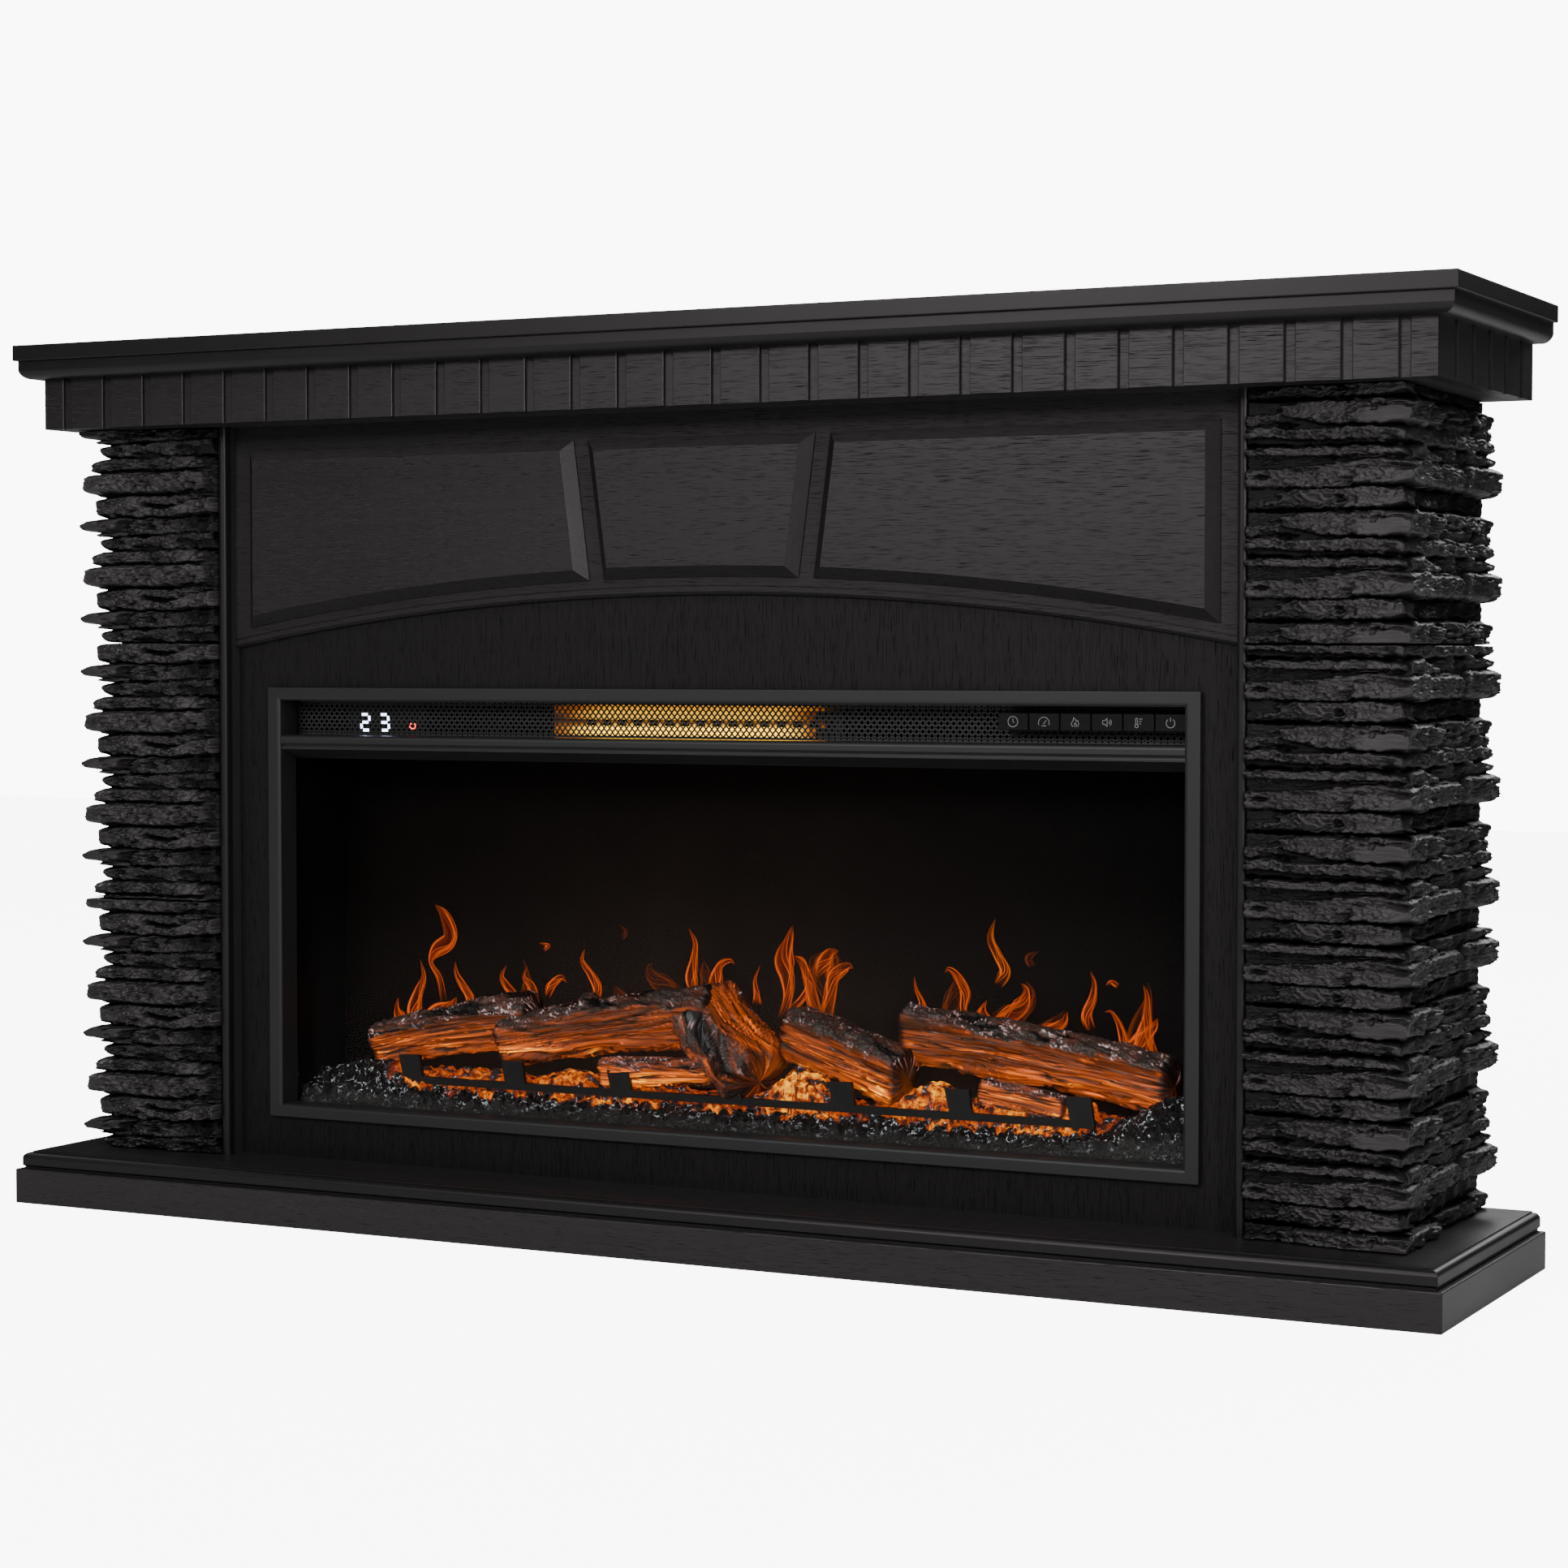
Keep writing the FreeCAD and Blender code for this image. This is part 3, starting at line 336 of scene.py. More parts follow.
def stone_paint():
    """Charcoal split-face stone with a slight sheen: strata, dusty high spots, and painted shade that darkens
    the hollows.
    """
    paint = Paint("stone")
    strata = paint.streaks((26.0, 26.0, 330.0), 6.0, 0.65)
    grit = paint.noise(800.0, 3.0, 0.7)
    pits = paint.streaks((90.0, 90.0, 190.0), 5.0, 0.65)
    cloud = paint.streaks((9.0, 9.0, 26.0), 5.0, 0.6)
    height = paint.attribute("height")
    base = paint.ramp(strata, (0.3, (0.005, 0.0045, 0.005)), (0.55, (0.0125, 0.0115, 0.0125)),
                      (0.75, (0.036, 0.033, 0.0355)))
    dusty = paint.mix(paint.grey(cloud, 0.0, 0.7, 0.45, 0.72), base, rgba(0.040, 0.037, 0.040))
    # Painted shade: where the stone stands out least, in the hollows and joints, the colour falls almost to
    # black and the sheen is turned down.
    shade = paint.mix(paint.grey(height, 0.0, 1.0, 0.35, 0.80), rgba(0.0012, 0.0012, 0.0014), dusty)
    uneven = paint.bump(pits, 0.4, 0.0008, paint.bump(strata, 0.8, 0.0012))
    paint.set(Base_Color=shade, Roughness=paint.grey(pits, 0.40, 0.58, 0.3, 0.7),
              Specular_IOR_Level=paint.grey(height, 0.06, 0.68, 0.36, 0.72),
              Specular_Tint=rgba(1.0, 0.93, 0.96), Normal=paint.bump(grit, 0.2, 0.0002, uneven))
    return paint.material


def log_paint():
    """Moulded log: glossy charred bark, split orange wood and lines that glow from within."""
    paint = Paint("log")
    bark, heat, glow, glint, char = (paint.attribute(n) for n in ("bark", "warm", "glow", "glint", "char"))
    streak = paint.streaks((11.0, 330.0, 1.0), 5.0, 0.65, "UV")
    fine = paint.noise(420.0, 4.0, 0.65)
    cloud = paint.noise(45.0, 5.0, 0.6)
    wood = paint.ramp(streak, (0.34, (0.016, 0.006, 0.003)), (0.50, (0.12, 0.036, 0.010)),
                      (0.70, (0.30, 0.11, 0.04)))
    ashy = paint.ramp(fine, (0.30, (0.018, 0.014, 0.012)), (0.55, (0.10, 0.075, 0.062)),
                      (0.75, (0.30, 0.25, 0.22)))
    coal = paint.ramp(cloud, (0.35, (0.004, 0.004, 0.004)), (0.7, (0.020, 0.017, 0.016)))
    skin = paint.mix(paint.grey(char, 0.0, 1.0, 0.2, 0.8), ashy, coal)
    # The glint flecks are painted highlights: near white in colour, and given a faint glow of their own
    # below.
    paint.set(Base_Color=paint.mix(bark, wood, paint.mix(glint, skin, rgba(0.75, 0.77, 0.80))),
              Roughness=paint.grey(paint.times(bark, cloud), 0.50, 0.22),
              Coat_Weight=0.25, Coat_Roughness=0.15)
    level = paint.times(glow, paint.grey(heat, 0.34, 2.3, 0.05, 0.9),
                        paint.grey(streak, 0.05, 2.1, 0.34, 0.68), paint.grey(char, 1.0, 0.1))
    colour = paint.ramp(paint.times(glow, heat), (0.0, (1.0, 0.135, 0.012)), (0.35, (1.0, 0.17, 0.005)),
                        (1.0, (1.0, 0.40, 0.003)))
    relief = paint.bump(streak, 0.5, 0.0014)
    paint.set(Emission_Color=paint.mix(glint, colour, rgba(0.80, 0.84, 0.90)),
              Emission_Strength=paint.math("ADD", level, paint.times(glint, 0.62)),
              Normal=paint.bump(fine, 0.6, 0.0010, relief))
    return paint.material


def ember_paint():
    """Glossy black coals with painted white glints, grey ash at the front and glow in the hollows."""
    paint = Paint("ember")
    lump = paint.noise(240.0, 5.0, 0.7)
    worm = paint.noise(75.0, 3.0, 0.55)
    ash = paint.attribute("ash")
    heat = paint.attribute("warm")
    coal = paint.ramp(lump, (0.38, 0.004), (0.58, (0.014, 0.013, 0.013)), (0.72, 0.03))
    dust_and_top_light = paint.ramp(paint.noise(500.0), (0.35, (0.020, 0.019, 0.018)), (0.7, (0.10, 0.095, 0.09)))
    thin = paint.ramp(worm, (0.522, 0.0), (0.545, 1.0), (0.568, 0.0))
    broken = paint.ramp(lump, (0.50, 0.0), (0.58, 1.0))
    # Glint: painted highlights, thin pale worms on the cold coals, near white and with a faint glow of their
    # own.
    glint = paint.times(thin, broken, paint.grey(ash, 1.0, 0.2), paint.grey(heat, 1.0, 0.0, 0.0, 0.3))
    shine = paint.math("ADD", paint.grey(lump, 0.42, 0.16, 0.4, 0.7), paint.grey(ash, 0.0, 0.4))
    paint.set(Base_Color=paint.mix(glint, paint.mix(ash, coal, dust_and_top_light), rgba(0.7, 0.72, 0.75)), Roughness=shine)
    hot = paint.ramp(paint.noise(150.0, 5.0, 0.65), (0.36, 0.08), (0.62, 1.0))
    level = paint.times(heat, hot)
    colour = paint.ramp(level, (0.02, (1.0, 0.09, 0.006)), (0.22, (1.0, 0.145, 0.002)),
                        (0.60, (1.0, 0.43, 0.001)))
    cold = paint.grey(heat, 1.0, 0.0, 0.0, 0.05)
    paint.set(Emission_Color=paint.mix(cold, colour, rgba(0.8, 0.84, 0.9)),
              Emission_Strength=paint.math("ADD", paint.times(level, 3.0), paint.times(glint, 0.85)),
              Normal=paint.bump(lump, 0.9, 0.003))
    return paint.material


def screen_paint():
    """Dark flame screen with a faint warm bloom above the logs."""
    paint = Paint("flame_screen_glow")
    place = paint.axes(paint.coords["Object"])
    height = paint.grey(place["Z"], 1.0, 0.12, 0.22, 0.50)
    centre = paint.grey(paint.away(place["X"], -0.05), 1.0, 0.05, 0.10, 0.56)
    cloud = paint.streaks((7.0, 1.0, 5.0))
    bloom = paint.times(height, centre, paint.grey(cloud, 0.7, 1.2, 0.3, 0.7), 0.021)
    paint.set(Base_Color=rgba(0.0015, 0.0014, 0.0013), Roughness=0.6, Specular_IOR_Level=0.08,
              Emission_Color=rgba(0.80, 0.48, 0.36), Emission_Strength=bloom)
    return paint.material


def flame_paint(name, body_colour, edge_colour, cover_level):
    """See-through flame picture with fine strands, brighter at its edges and fading at both ends."""
    paint = Paint(name)
    place = paint.axes(paint.coords["UV"])
    across = paint.away(paint.times(place["Y"], 2.0), 1.0)
    edge = paint.ramp(across, (0.0, 0.10), (0.5, 0.20), (0.80, 1.0), (1.0, 0.0))
    ends = paint.ramp(place["X"], (0.0, 0.0), (0.22, 0.9), (0.75, 1.0), (1.0, 0.25))
    strands = paint.streaks((2.0, 17.0, 1.0), source="UV")
    cover = paint.times(edge, ends, paint.grey(strands, 0.15, 1.7, 0.38, 0.60), cover_level)
    cover.node.use_clamp = True
    colour = paint.mix(paint.times(edge, strands), rgba(*body_colour), rgba(*edge_colour))
    paint.see_through(cover, paint.node("Emission", {"Color": colour, "Strength": 1.0}), WHITE)
    return paint.material


def glass_paint():
    """Thin anti-reflective glass: see-through with a faint surface reflection and light smears."""
    paint = Paint("window_glass_thin")
    smear = paint.grey(paint.noise(5.0), 0.03, 0.09)
    gloss = paint.node("BsdfGlossy", {"Color": rgba(0.16, 0.16, 0.16), "Roughness": smear})
    paint.see_through(paint.node("Fresnel", {"IOR": 1.25}).outputs[0], gloss, rgba(0.95, 0.95, 0.95))
    return paint.material


def heater_paint(name, low_z, high_z, bands, cool_end):
    """Glowing surface of the heater: bands over its height, and a deeper orange towards both ends along X.
    The tubes glow of themselves; on the reflector and tube holders it is a painted reflection of their glow.
    """
    paint = Paint(name)
    reach = 0.1625
    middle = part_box("heating_tubes")[0].x + 0.1525
    place = paint.axes(paint.coords["Object"])
    away = paint.away(place["X"], middle)
    ripple = paint.grey(paint.streaks((60.0, 1.0, 1.0), 2.0), -0.012, 0.012)
    fall = paint.grey(paint.math("ADD", away, ripple), 1.0, 0.0, reach * 0.68, reach * 0.95)
    inside = paint.math("LESS_THAN", away, reach)
    band = paint.ramp(paint.grey(place["Z"], 0.0, 1.0, low_z, high_z), *bands)
    level = paint.times(band, inside, paint.grey(fall, cool_end, 1.0))
    colour = paint.ramp(level, (0.0, (1.0, 0.12, 0.001)), (0.10, (1.0, 0.26, 0.001)),
                        (0.35, (1.0, 0.50, 0.001)), (1.0, (1.0, 0.56, 0.002)))
    paint.set(Base_Color=rgba(0.012, 0.008, 0.006), Roughness=0.5, Emission_Color=colour,
              Emission_Strength=paint.times(level, 4.6))
    return paint.material


# ---- carried-over CAD nodes ----
def dress_frame():
    """Materials of the CAD nodes that keep their own shape."""
    # Brightness of the heater's two tubes and of the trough behind them, by share of their height; on the
    # trough it is a painted reflection of the tubes.
    tubes_low, tubes_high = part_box("heating_tubes")
    tube_bands = ((0.0, 1.0), (0.45, 1.0), (0.55, 0.36), (1.0, 0.36))
    trough_low, trough_high = 0.548, 0.588
    trough_reflection_bands = ((0.0, 0.45), (0.30, 0.50), (0.42, 0.10), (0.50, 0.015), (0.56, 0.06), (0.72, 0.26),
                    (1.0, 0.22))
    keys = " ".join("key_" + kind for kind in ICONS)
    looks = (
        (lacquer("black_lacquer", 0.009, 0.36), "mantel_top crown_moulding plinth_moulding column_trims"),
        (veneer("veneer_plinth", "x", 0.017, 0.45, 0.34, 0.5), "plinth_slab plinth_deck"),
        (veneer("veneer_across", "x", 0.014, 0.35, 0.46, 0.34), "arch_header"),
        (veneer("veneer_facing", "x", 0.0125, 0.4, 0.37, 0.5, dust_and_top_light=0.7),
         "frieze_front frieze_sides raised_panel_left raised_panel_right keystone_panel"),
        (veneer("veneer_upright", "z", 0.009, 0.3, 0.46, 0.20), "fascia_board"),
        (plastic("carcass_melamine", (0.022, 0.021, 0.022), 0.5, 700.0, 0.2),
         "frieze_soffit rear_rails column_carcass_left column_carcass_right"),
        (powder_coat("trim_powder_coat", (0.014, 0.014, 0.0145)), "insert_trim_frame divider_bar"),
        (powder_coat("case_powder_coat", (0.010, 0.010, 0.010), 0.5),
         "housing_tray housing_top rear_cover heater_shelf blower_housing key_guide_plate"),
        (powder_coat("grate_black", (0.008, 0.008, 0.008), 0.6), "grate"),
        (metal("zinc_plate", (0.55, 0.55, 0.53), 0.35), "wall_brackets pan_head_screws rotor_motor"),
        (metal("motor_grey", (0.05, 0.05, 0.05), 0.5), "blower_motor"),
        (metal("bush_bronze", (0.5, 0.33, 0.16), 0.35), "shaft_bushes"),
        (metal("bright_sheet", (0.75, 0.75, 0.76), 0.2), "flame_rotor"),
        (metal("dark_sheet", (0.03, 0.03, 0.03), 0.6), "blower_wheel"),
        (plastic("nylon_black", (0.02, 0.02, 0.02), 0.45), "cable_gland"),
        (plastic("matt_black", (0.0025, 0.0025, 0.0025), 0.7, gloss=0.2), "speaker display_module"),
        (plastic("circuit_mask", (0.008, 0.022, 0.014), 0.5), "key_circuit_board control_board led_strips"),
        (plastic("key_dark", (0.004, 0.004, 0.004), 0.55, 1800.0, gloss=0.2), keys),
        (glass_paint(), "glass_pane"),
        (screen_paint(), "flame_screen"),
        (heater_paint("quartz_glow", tubes_low.z, tubes_high.z, tube_bands, 0.10), "heating_tubes"),
        (heater_paint("reflector_painted_reflection", trough_low, trough_high, trough_reflection_bands, 0.22),
         "heater_reflector tube_holders"))
    for material, nodes in looks:
        for node in nodes.split():
            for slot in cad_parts[node].material_slots:
                slot.material = material


# ---- stone cladding ----
# Each column carries three moulded panels that repeat one module of five courses. A stone is
# (start, end, upper edge, lower edge, stand-out at its start and end, roundness). Lengths are in
# millimetres, measured away from the trim strip or back from the corner, and down from the module's top.
MODULE = 108.2
FRONT_LENGTH = 171.0
SIDE_LENGTH = 283.0
LARGEST_STAND_OUT = 35.5

RIGHT_FRONT = [
    (0, 113, (7, 2, 0), (24, 24, 25), (25, 28), 1.2),
    (108, 172, (-1, -2, -1), (8, 8, 8), (26, 31), 1.0),
    (110, 172, (7, 6, 7), (22, 24, 22), (34, 37), 2.2),
    (0, 40, (25, 26, 27), (45, 44, 40), (19, 22), 0.8),
    (28, 122, (26, 25, 26), (44, 47, 46), (22, 27), 1.6),
    (118, 171, (25, 25, 25), (45, 46, 45), (29, 32), 1.4),
    (0, 34, (48, 49, 50), (58, 58, 58), (20, 22), 1.0),
    (0, 36, (60, 60, 61), (72, 73, 71), (24, 26), 2.5),
    (34, 120, (52, 49, 50), (62, 71, 73), (23, 31), 2.0),
    (112, 172, (48, 48, 49), (56, 55, 55), (27, 30), 1.0),
    (104, 173, (56, 55, 54), (72, 73, 72), (33, 37), 2.0),
    (0, 172, (74, 75, 74), (84, 86, 89), (27, 32), 1.2),
    (10, 172, (84, 85, 86), (90, 90, 91), (16, 24), 1.0),
    (0, 167, (93, 92, 93), (101, 102, 103), (24, 28), 1.6),
    (0, 160, (101, 102, 103), (107, 106, 106), (17, 22), 1.0)]
RIGHT_SIDE = [
    (0, 82, (-2, -5, 1), (23, 25, 24), (26, 25), 6.0),
    (80, 190, (2, 0, 3), (24, 23, 22), (22, 20), 3.0),
    (186, 283, (-3, -5, -6), (23, 25, 25), (21, 27), 7.0),
    (0, 118, (25, 27, 25), (46, 45, 44), (17, 13), 4.0),
    (114, 283, (26, 24, 26), (44, 42, 40), (12, 7), 2.0),
    (0, 104, (47, 48, 53), (73, 72, 68), (26, 22), 2.4),
    (106, 200, (47, 45, 48), (62, 60, 58), (18, 17), 2.0),
    (198, 283, (46, 48, 47), (64, 63, 62), (17, 16), 2.0),
    (100, 283, (64, 62, 64), (78, 76, 74), (16, 17), 2.0),
    (0, 283, (75, 72, 75), (91, 89, 87), (20, 18), 2.6),
    (0, 88, (93, 92, 98), (107, 106, 104), (23, 20), 1.2),
    (84, 198, (91, 89, 92), (105, 103, 100), (14, 18), 1.2),
    (196, 283, (88, 90, 92), (104, 102, 99), (19, 20), 2.4)]
LEFT_FRONT = [
    (4, 171, (-5, -1, 2), (16, 17, 16), (22, 25), 2.4),
    (12, 60, (18, 17, 17), (31, 33, 35), (24, 27), 1.6),
    (52, 172, (17, 17, 17), (35, 32, 33), (27, 30), 3.0),
    (12, 50, (36, 35, 36), (57, 58, 58), (26, 28), 2.0),
    (46, 173, (36, 34, 34), (60, 60, 58), (33, 36), 4.5),
    (0, 62, (64, 68, 76), (82, 84, 85), (31, 32), 1.6),
    (4, 96, (60, 61, 62), (63, 73, 72), (26, 29), 2.0),
    (56, 172, (78, 73, 63), (86, 87, 86), (30, 30), 2.0),
    (96, 172, (61, 61, 62), (80, 76, 72), (29, 27), 2.0),
    (4, 124, (86, 87, 88), (103, 106, 107), (22, 25), 1.6),
    (122, 174, (88, 87, 88), (102, 103, 102), (38, 40), 5.5),
    (126, 171, (102, 102, 102), (108, 108, 108), (25, 26), 1.0)]
LEFT_SIDE = [
    (0, 90, (1, 0, 2), (16, 17, 16), (12, 14), 3.0),
    (88, 283, (0, 2, 1), (17, 16, 17), (16, 14), 2.0),
    (0, 120, (17, 18, 17), (34, 33, 34), (29, 22), 3.4),
    (118, 283, (18, 17, 18), (33, 34, 33), (18, 20), 2.0),
    (0, 70, (35, 34, 35), (60, 58, 57), (32, 28), 4.5),
    (66, 283, (34, 36, 35), (58, 59, 60), (22, 25), 2.4),
    (0, 140, (61, 62, 60), (86, 85, 86), (23, 20), 2.0),
    (136, 283, (60, 61, 62), (85, 86, 85), (24, 18), 2.0),
    (0, 60, (88, 87, 88), (102, 102, 101), (33, 27), 5.0),
    (0, 62, (102, 101, 102), (108, 108, 108), (21, 18), 1.0),
    (58, 180, (87, 88, 87), (106, 107, 106), (19, 23), 2.0),
    (176, 283, (88, 87, 88), (106, 105, 106), (15, 18), 2.0)]
# Panels of each column: lowest height, highest height, and the height of a module's top.
RIGHT_PANELS = [(60.0, 356.0, 340.3), (356.0, 650.0, 619.5), (650.0, 903.0, 827.5)]
LEFT_PANELS = [(60.0, 354.9, 291.5), (354.9, 654.4, 609.0), (654.4, 903.0, 779.1)]
# Floor of the joints between stones, as (down from the module's top, stand-out) over one module.
RIGHT_FRONT_JOINTS = ((0, 19), (22, 19), (24.5, 13), (27, 17), (42, 16), (45.5, 6), (48, 14), (60, 18),
                      (74, 18), (82, 21), (88, 16), (91, 5), (93.5, 14), (101, 18), (108.2, 19))
RIGHT_SIDE_JOINTS = ((0, 17), (22, 15), (25, 7), (44, 6), (47, 12), (60, 14), (74, 14), (90, 14), (92, 8),
                     (94, 12), (107, 15), (108.2, 17))
LEFT_FRONT_JOINTS = ((0, 2), (3, 12), (14, 13), (16.5, 4), (19, 17), (34, 21), (36, 15), (40, 21), (57, 18),
                     (60, 14), (63, 19), (84, 17), (87, 12), (90, 17), (103, 15), (106, 12), (108.2, 2))
LEFT_SIDE_JOINTS = ((0, 0), (3, 8), (14, 9), (16.5, 3), (19, 13), (34, 15), (36, 12), (58, 14), (60, 10),
                    (84, 13), (87, 10), (106, 10), (108.2, 0))


def relief(stones, joints, along, down, height, corner, seed, bold):
    """Stand-out in millimetres of a set of stones, on a grid of lengths along, down and from the corner."""
    wobble = 1.1 * noise(along / 8.0, down / 30.0, seed) + 1.6 * noise(along / 27.0, down / 40.0, seed + 1)
    wobble = wobble + 0.5 * noise(along / 3.5, down / 20.0, seed + 5)
    ragged = 1.5 * noise(along / 12.0, down / 2.6, seed + 2)
    places, depths = zip(*joints)
    inland = smooth_step(2.0, 34.0, corner)
    out = np.interp(down + wobble, places, depths) + 1.5 * noise(along / 14.0, down / 4.0, seed + 3)
    for number, (start, end, upper, lower, proud, roundness) in enumerate(stones):
        spans = (start, (start + end) / 2.0, end)
        top = np.interp(along, spans, upper) + wobble
        bottom = np.interp(along, spans, lower) + wobble
        twist = 2.2 * noise(along / 24.0, down * 0.0 + number, seed + 4 + number)
        lean = 3.6 * math.cos(number * 1.9 + seed)
        blend = np.clip((along - start) / max(end - start, 1.0), 0.0, 1.0)
        face = proud[0] + (proud[1] - proud[0]) * blend + twist
        # A stone that reaches the corner runs on past it, and one that starts at the edge has no near end.
        far_end = end - along + (99.0 if end >= FRONT_LENGTH else 0.0)
        ends = (np.minimum(along - start, far_end) if start > 0 else far_end) + ragged
        for shift in (-MODULE, 0.0, MODULE):
            from_top = down - (top + shift)
            from_bottom = (bottom + shift) - down
            edge = np.minimum(np.minimum(from_top, from_bottom), ends * 0.8)
            tilt = np.clip(from_top / np.maximum(from_top + from_bottom, 1.0), 0.0, 1.0) - 0.5
            curve = np.clip(edge / (roundness + 3.5 * (1.0 - inland)), 0.0, 1.0)
            lip = 0.56 + 0.44 * np.sqrt(1.0 - (1.0 - curve) ** 2)
            out = np.where(edge > 0.0, np.maximum(out, (face - lean * tilt) * lip), out)
    # Split face: flakes in some patches and chipped facets in the others, calmer towards the corner.
    patch = smooth_step(-0.45, 0.20, layered(along / 30.0, down / 12.0, seed + 40, 2))
    phase = down / 5.0 + 2.6 * layered(along / 19.0, down / 10.0, seed + 45, 3)
    flake = (phase - np.floor(phase)) ** 1.8
    chip = along / 12.0 - down / 8.0 + 2.2 * layered(along / 13.0, down / 7.0, seed + 48, 3)
    facet = chip - np.floor(chip)
    swell = layered(along / 34.0, down / 15.0, seed + 55, 3)
    scoop = np.maximum(0.0, layered(along / 17.0, down / 7.0, seed + 60, 3) - 0.20)
    grain = layered(along / 7.0, down / 1.7, seed + 70, 3)
    calm = bold * (0.25 + 0.75 * inland)
    rough = calm * (3.9 * patch * flake + 2.4 * (1.0 - patch) * facet - 1.9 + 0.5 * grain)
    rough = rough + 3.6 * swell - 12.0 * scoop
    body = smooth_step(9.0, 17.0, out)
    return np.maximum(0.6, out + body * rough + 0.5 * layered(along / 15.0, height / 7.0, seed + 90, 2))


def stone_panel(name, side, low, high, origin, front_kind, side_kind):
    """One moulded panel that wraps the front, the outer corner and the side of a column."""
    carcass_low, carcass_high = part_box("column_carcass_right")
    inner_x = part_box("column_trims")[1].x / MM
    core_x = carcass_high.x / MM
    core_y = carcass_low.y / MM
    back_y = carcass_high.y / MM - 0.2
    seed = 11 if side > 0 else 57
    seam = 0.25
    row_step, front_step, side_step = 1.0, 1.5, 2.4
    z = np.linspace(low + seam, high - seam, int((high - low) / row_step))[:, None]
    down = (origin - z) % MODULE
    # Lengths along the front and along the side, with closer points at the corner between them.
    near_corner = FRONT_LENGTH + np.array([-2.0, -1.2, -0.5, 0.0])
    s = np.concatenate([np.arange(0.0, FRONT_LENGTH - 2.0, front_step), near_corner])
    t = np.concatenate([[0.5, 1.2, 2.0], np.arange(3.5, SIDE_LENGTH, side_step), [SIDE_LENGTH]])
    front = relief(*front_kind, *np.broadcast_arrays(s, down, z, FRONT_LENGTH - s), seed, 1.0)
    deepest, middle, stretch = 14.0, 31.0, 1.4
    front = np.where(front > deepest, np.maximum(deepest, middle + stretch * (front - middle)), front)
    flank = relief(*side_kind, *np.broadcast_arrays(t, down, z, t), seed + 200, 0.55)
    nose = core_y - front[:, -1:]
    front_x = inner_x + (s / FRONT_LENGTH) * (core_x + flank[:, :1] - inner_x)
    side_y = nose + (t / SIDE_LENGTH) * (back_y - nose)
    rounding, inward, backward = 4.0, 1.4, 2.2
    front_round = np.clip(1.0 - (FRONT_LENGTH - s) / rounding, 0.0, 1.0) ** 2
    side_round = np.clip(1.0 - t / rounding, 0.0, 1.0) ** 2
    x = np.concatenate([front_x - inward * front_round, core_x + flank - inward * side_round], axis=1)
    y = np.concatenate([core_y - front + backward * front_round, side_y + backward * side_round], axis=1)
    out = np.concatenate([front, flank], axis=1)
    # The outline meets the column at its two ends, and nearly so along the panel's top and bottom.
    y[:, 0] = core_y
    x[:, -1] = core_x
    for row in (0, -1):
        x[row] = 0.25 * x[row] + 0.75 * np.minimum(x[row], core_x)
        y[row] = 0.25 * y[row] + 0.75 * np.maximum(y[row], core_y)
    x = np.minimum(x, core_x + LARGEST_STAND_OUT)
    y = np.maximum(y, core_y - LARGEST_STAND_OUT)
    points = np.stack([side * x, y, np.broadcast_to(z, x.shape)], axis=-1)
    masks = {"height": np.clip(out / 32.0, 0.0, 1.0)}
    return grid_object(name, points, STONE, masks, flip=side < 0)


def stone_columns():
    columns = ((1, "right", RIGHT_PANELS, (RIGHT_FRONT, RIGHT_FRONT_JOINTS), (RIGHT_SIDE, RIGHT_SIDE_JOINTS)),
               (-1, "left", LEFT_PANELS, (LEFT_FRONT, LEFT_FRONT_JOINTS), (LEFT_SIDE, LEFT_SIDE_JOINTS)))
    for side, label, panels, front_kind, side_kind in columns:
        for level, (low, high, origin) in zip(("low", "middle", "high"), panels):
            name = "stone_%s_%s" % (label, level)
            piece = stone_panel(name, side, low, high, origin, front_kind, side_kind)
            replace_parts(piece, "stone_cladding_" + label)


# ---- coal bed and logs ----
def lump_field(height, x, y, count, smallest, largest, random, margin=5.0):
    """Stamps rounded blocky lumps onto a height field and returns how far each point rose."""
    bare = height.copy()
    grid_x, grid_y = np.meshgrid(x, y)
    for _ in range(count):
        cx = random.uniform(x[0], x[-1])
        cy = random.uniform(y[0] + margin, y[-1])
        radius = random.uniform(smallest, largest) * (0.5 if cy < y[0] + 10.0 else 1.0)
        stretch = random.uniform(0.6, 1.5)
        turn = random.uniform(0.0, math.pi)
        i0, i1 = np.searchsorted(x, [cx - 2 * radius, cx + 2 * radius])
        j0, j1 = np.searchsorted(y, [cy - 2 * radius, cy + 2 * radius])
        lift = random.uniform(-1.5, 3.0)
        if i1 - i0 < 2 or j1 - j0 < 2:
            continue
        area = (slice(j0, j1), slice(i0, i1))
        dx = grid_x[area] - cx
        dy = grid_y[area] - cy
        a = (dx * math.cos(turn) + dy * math.sin(turn)) / (radius * stretch)
        b = (-dx * math.sin(turn) + dy * math.cos(turn)) / (radius / stretch)
        dome = 1.0 - np.maximum(np.abs(a), np.abs(b)) ** 2.2 - 0.25 * (a * a + b * b)
        top = float(np.mean(bare[area])) + lift + radius * 0.85 * dome
        height[area] = np.where(dome > 0.0, np.maximum(height[area], top), height[area])
    return height - bare


def coal_object(name, grid_x, grid_y, height, rim, ash, heat):
    """Coals from a height field, with its outer edge let down to the rim's height."""
    for edge in ((0, slice(None)), (-1, slice(None)), (slice(None), 0), (slice(None), -1)):
        height[edge] = rim
    points = np.stack([grid_x, grid_y, height], axis=-1)
    return grid_object(name, points, EMBER, {"ash": ash, "warm": heat})


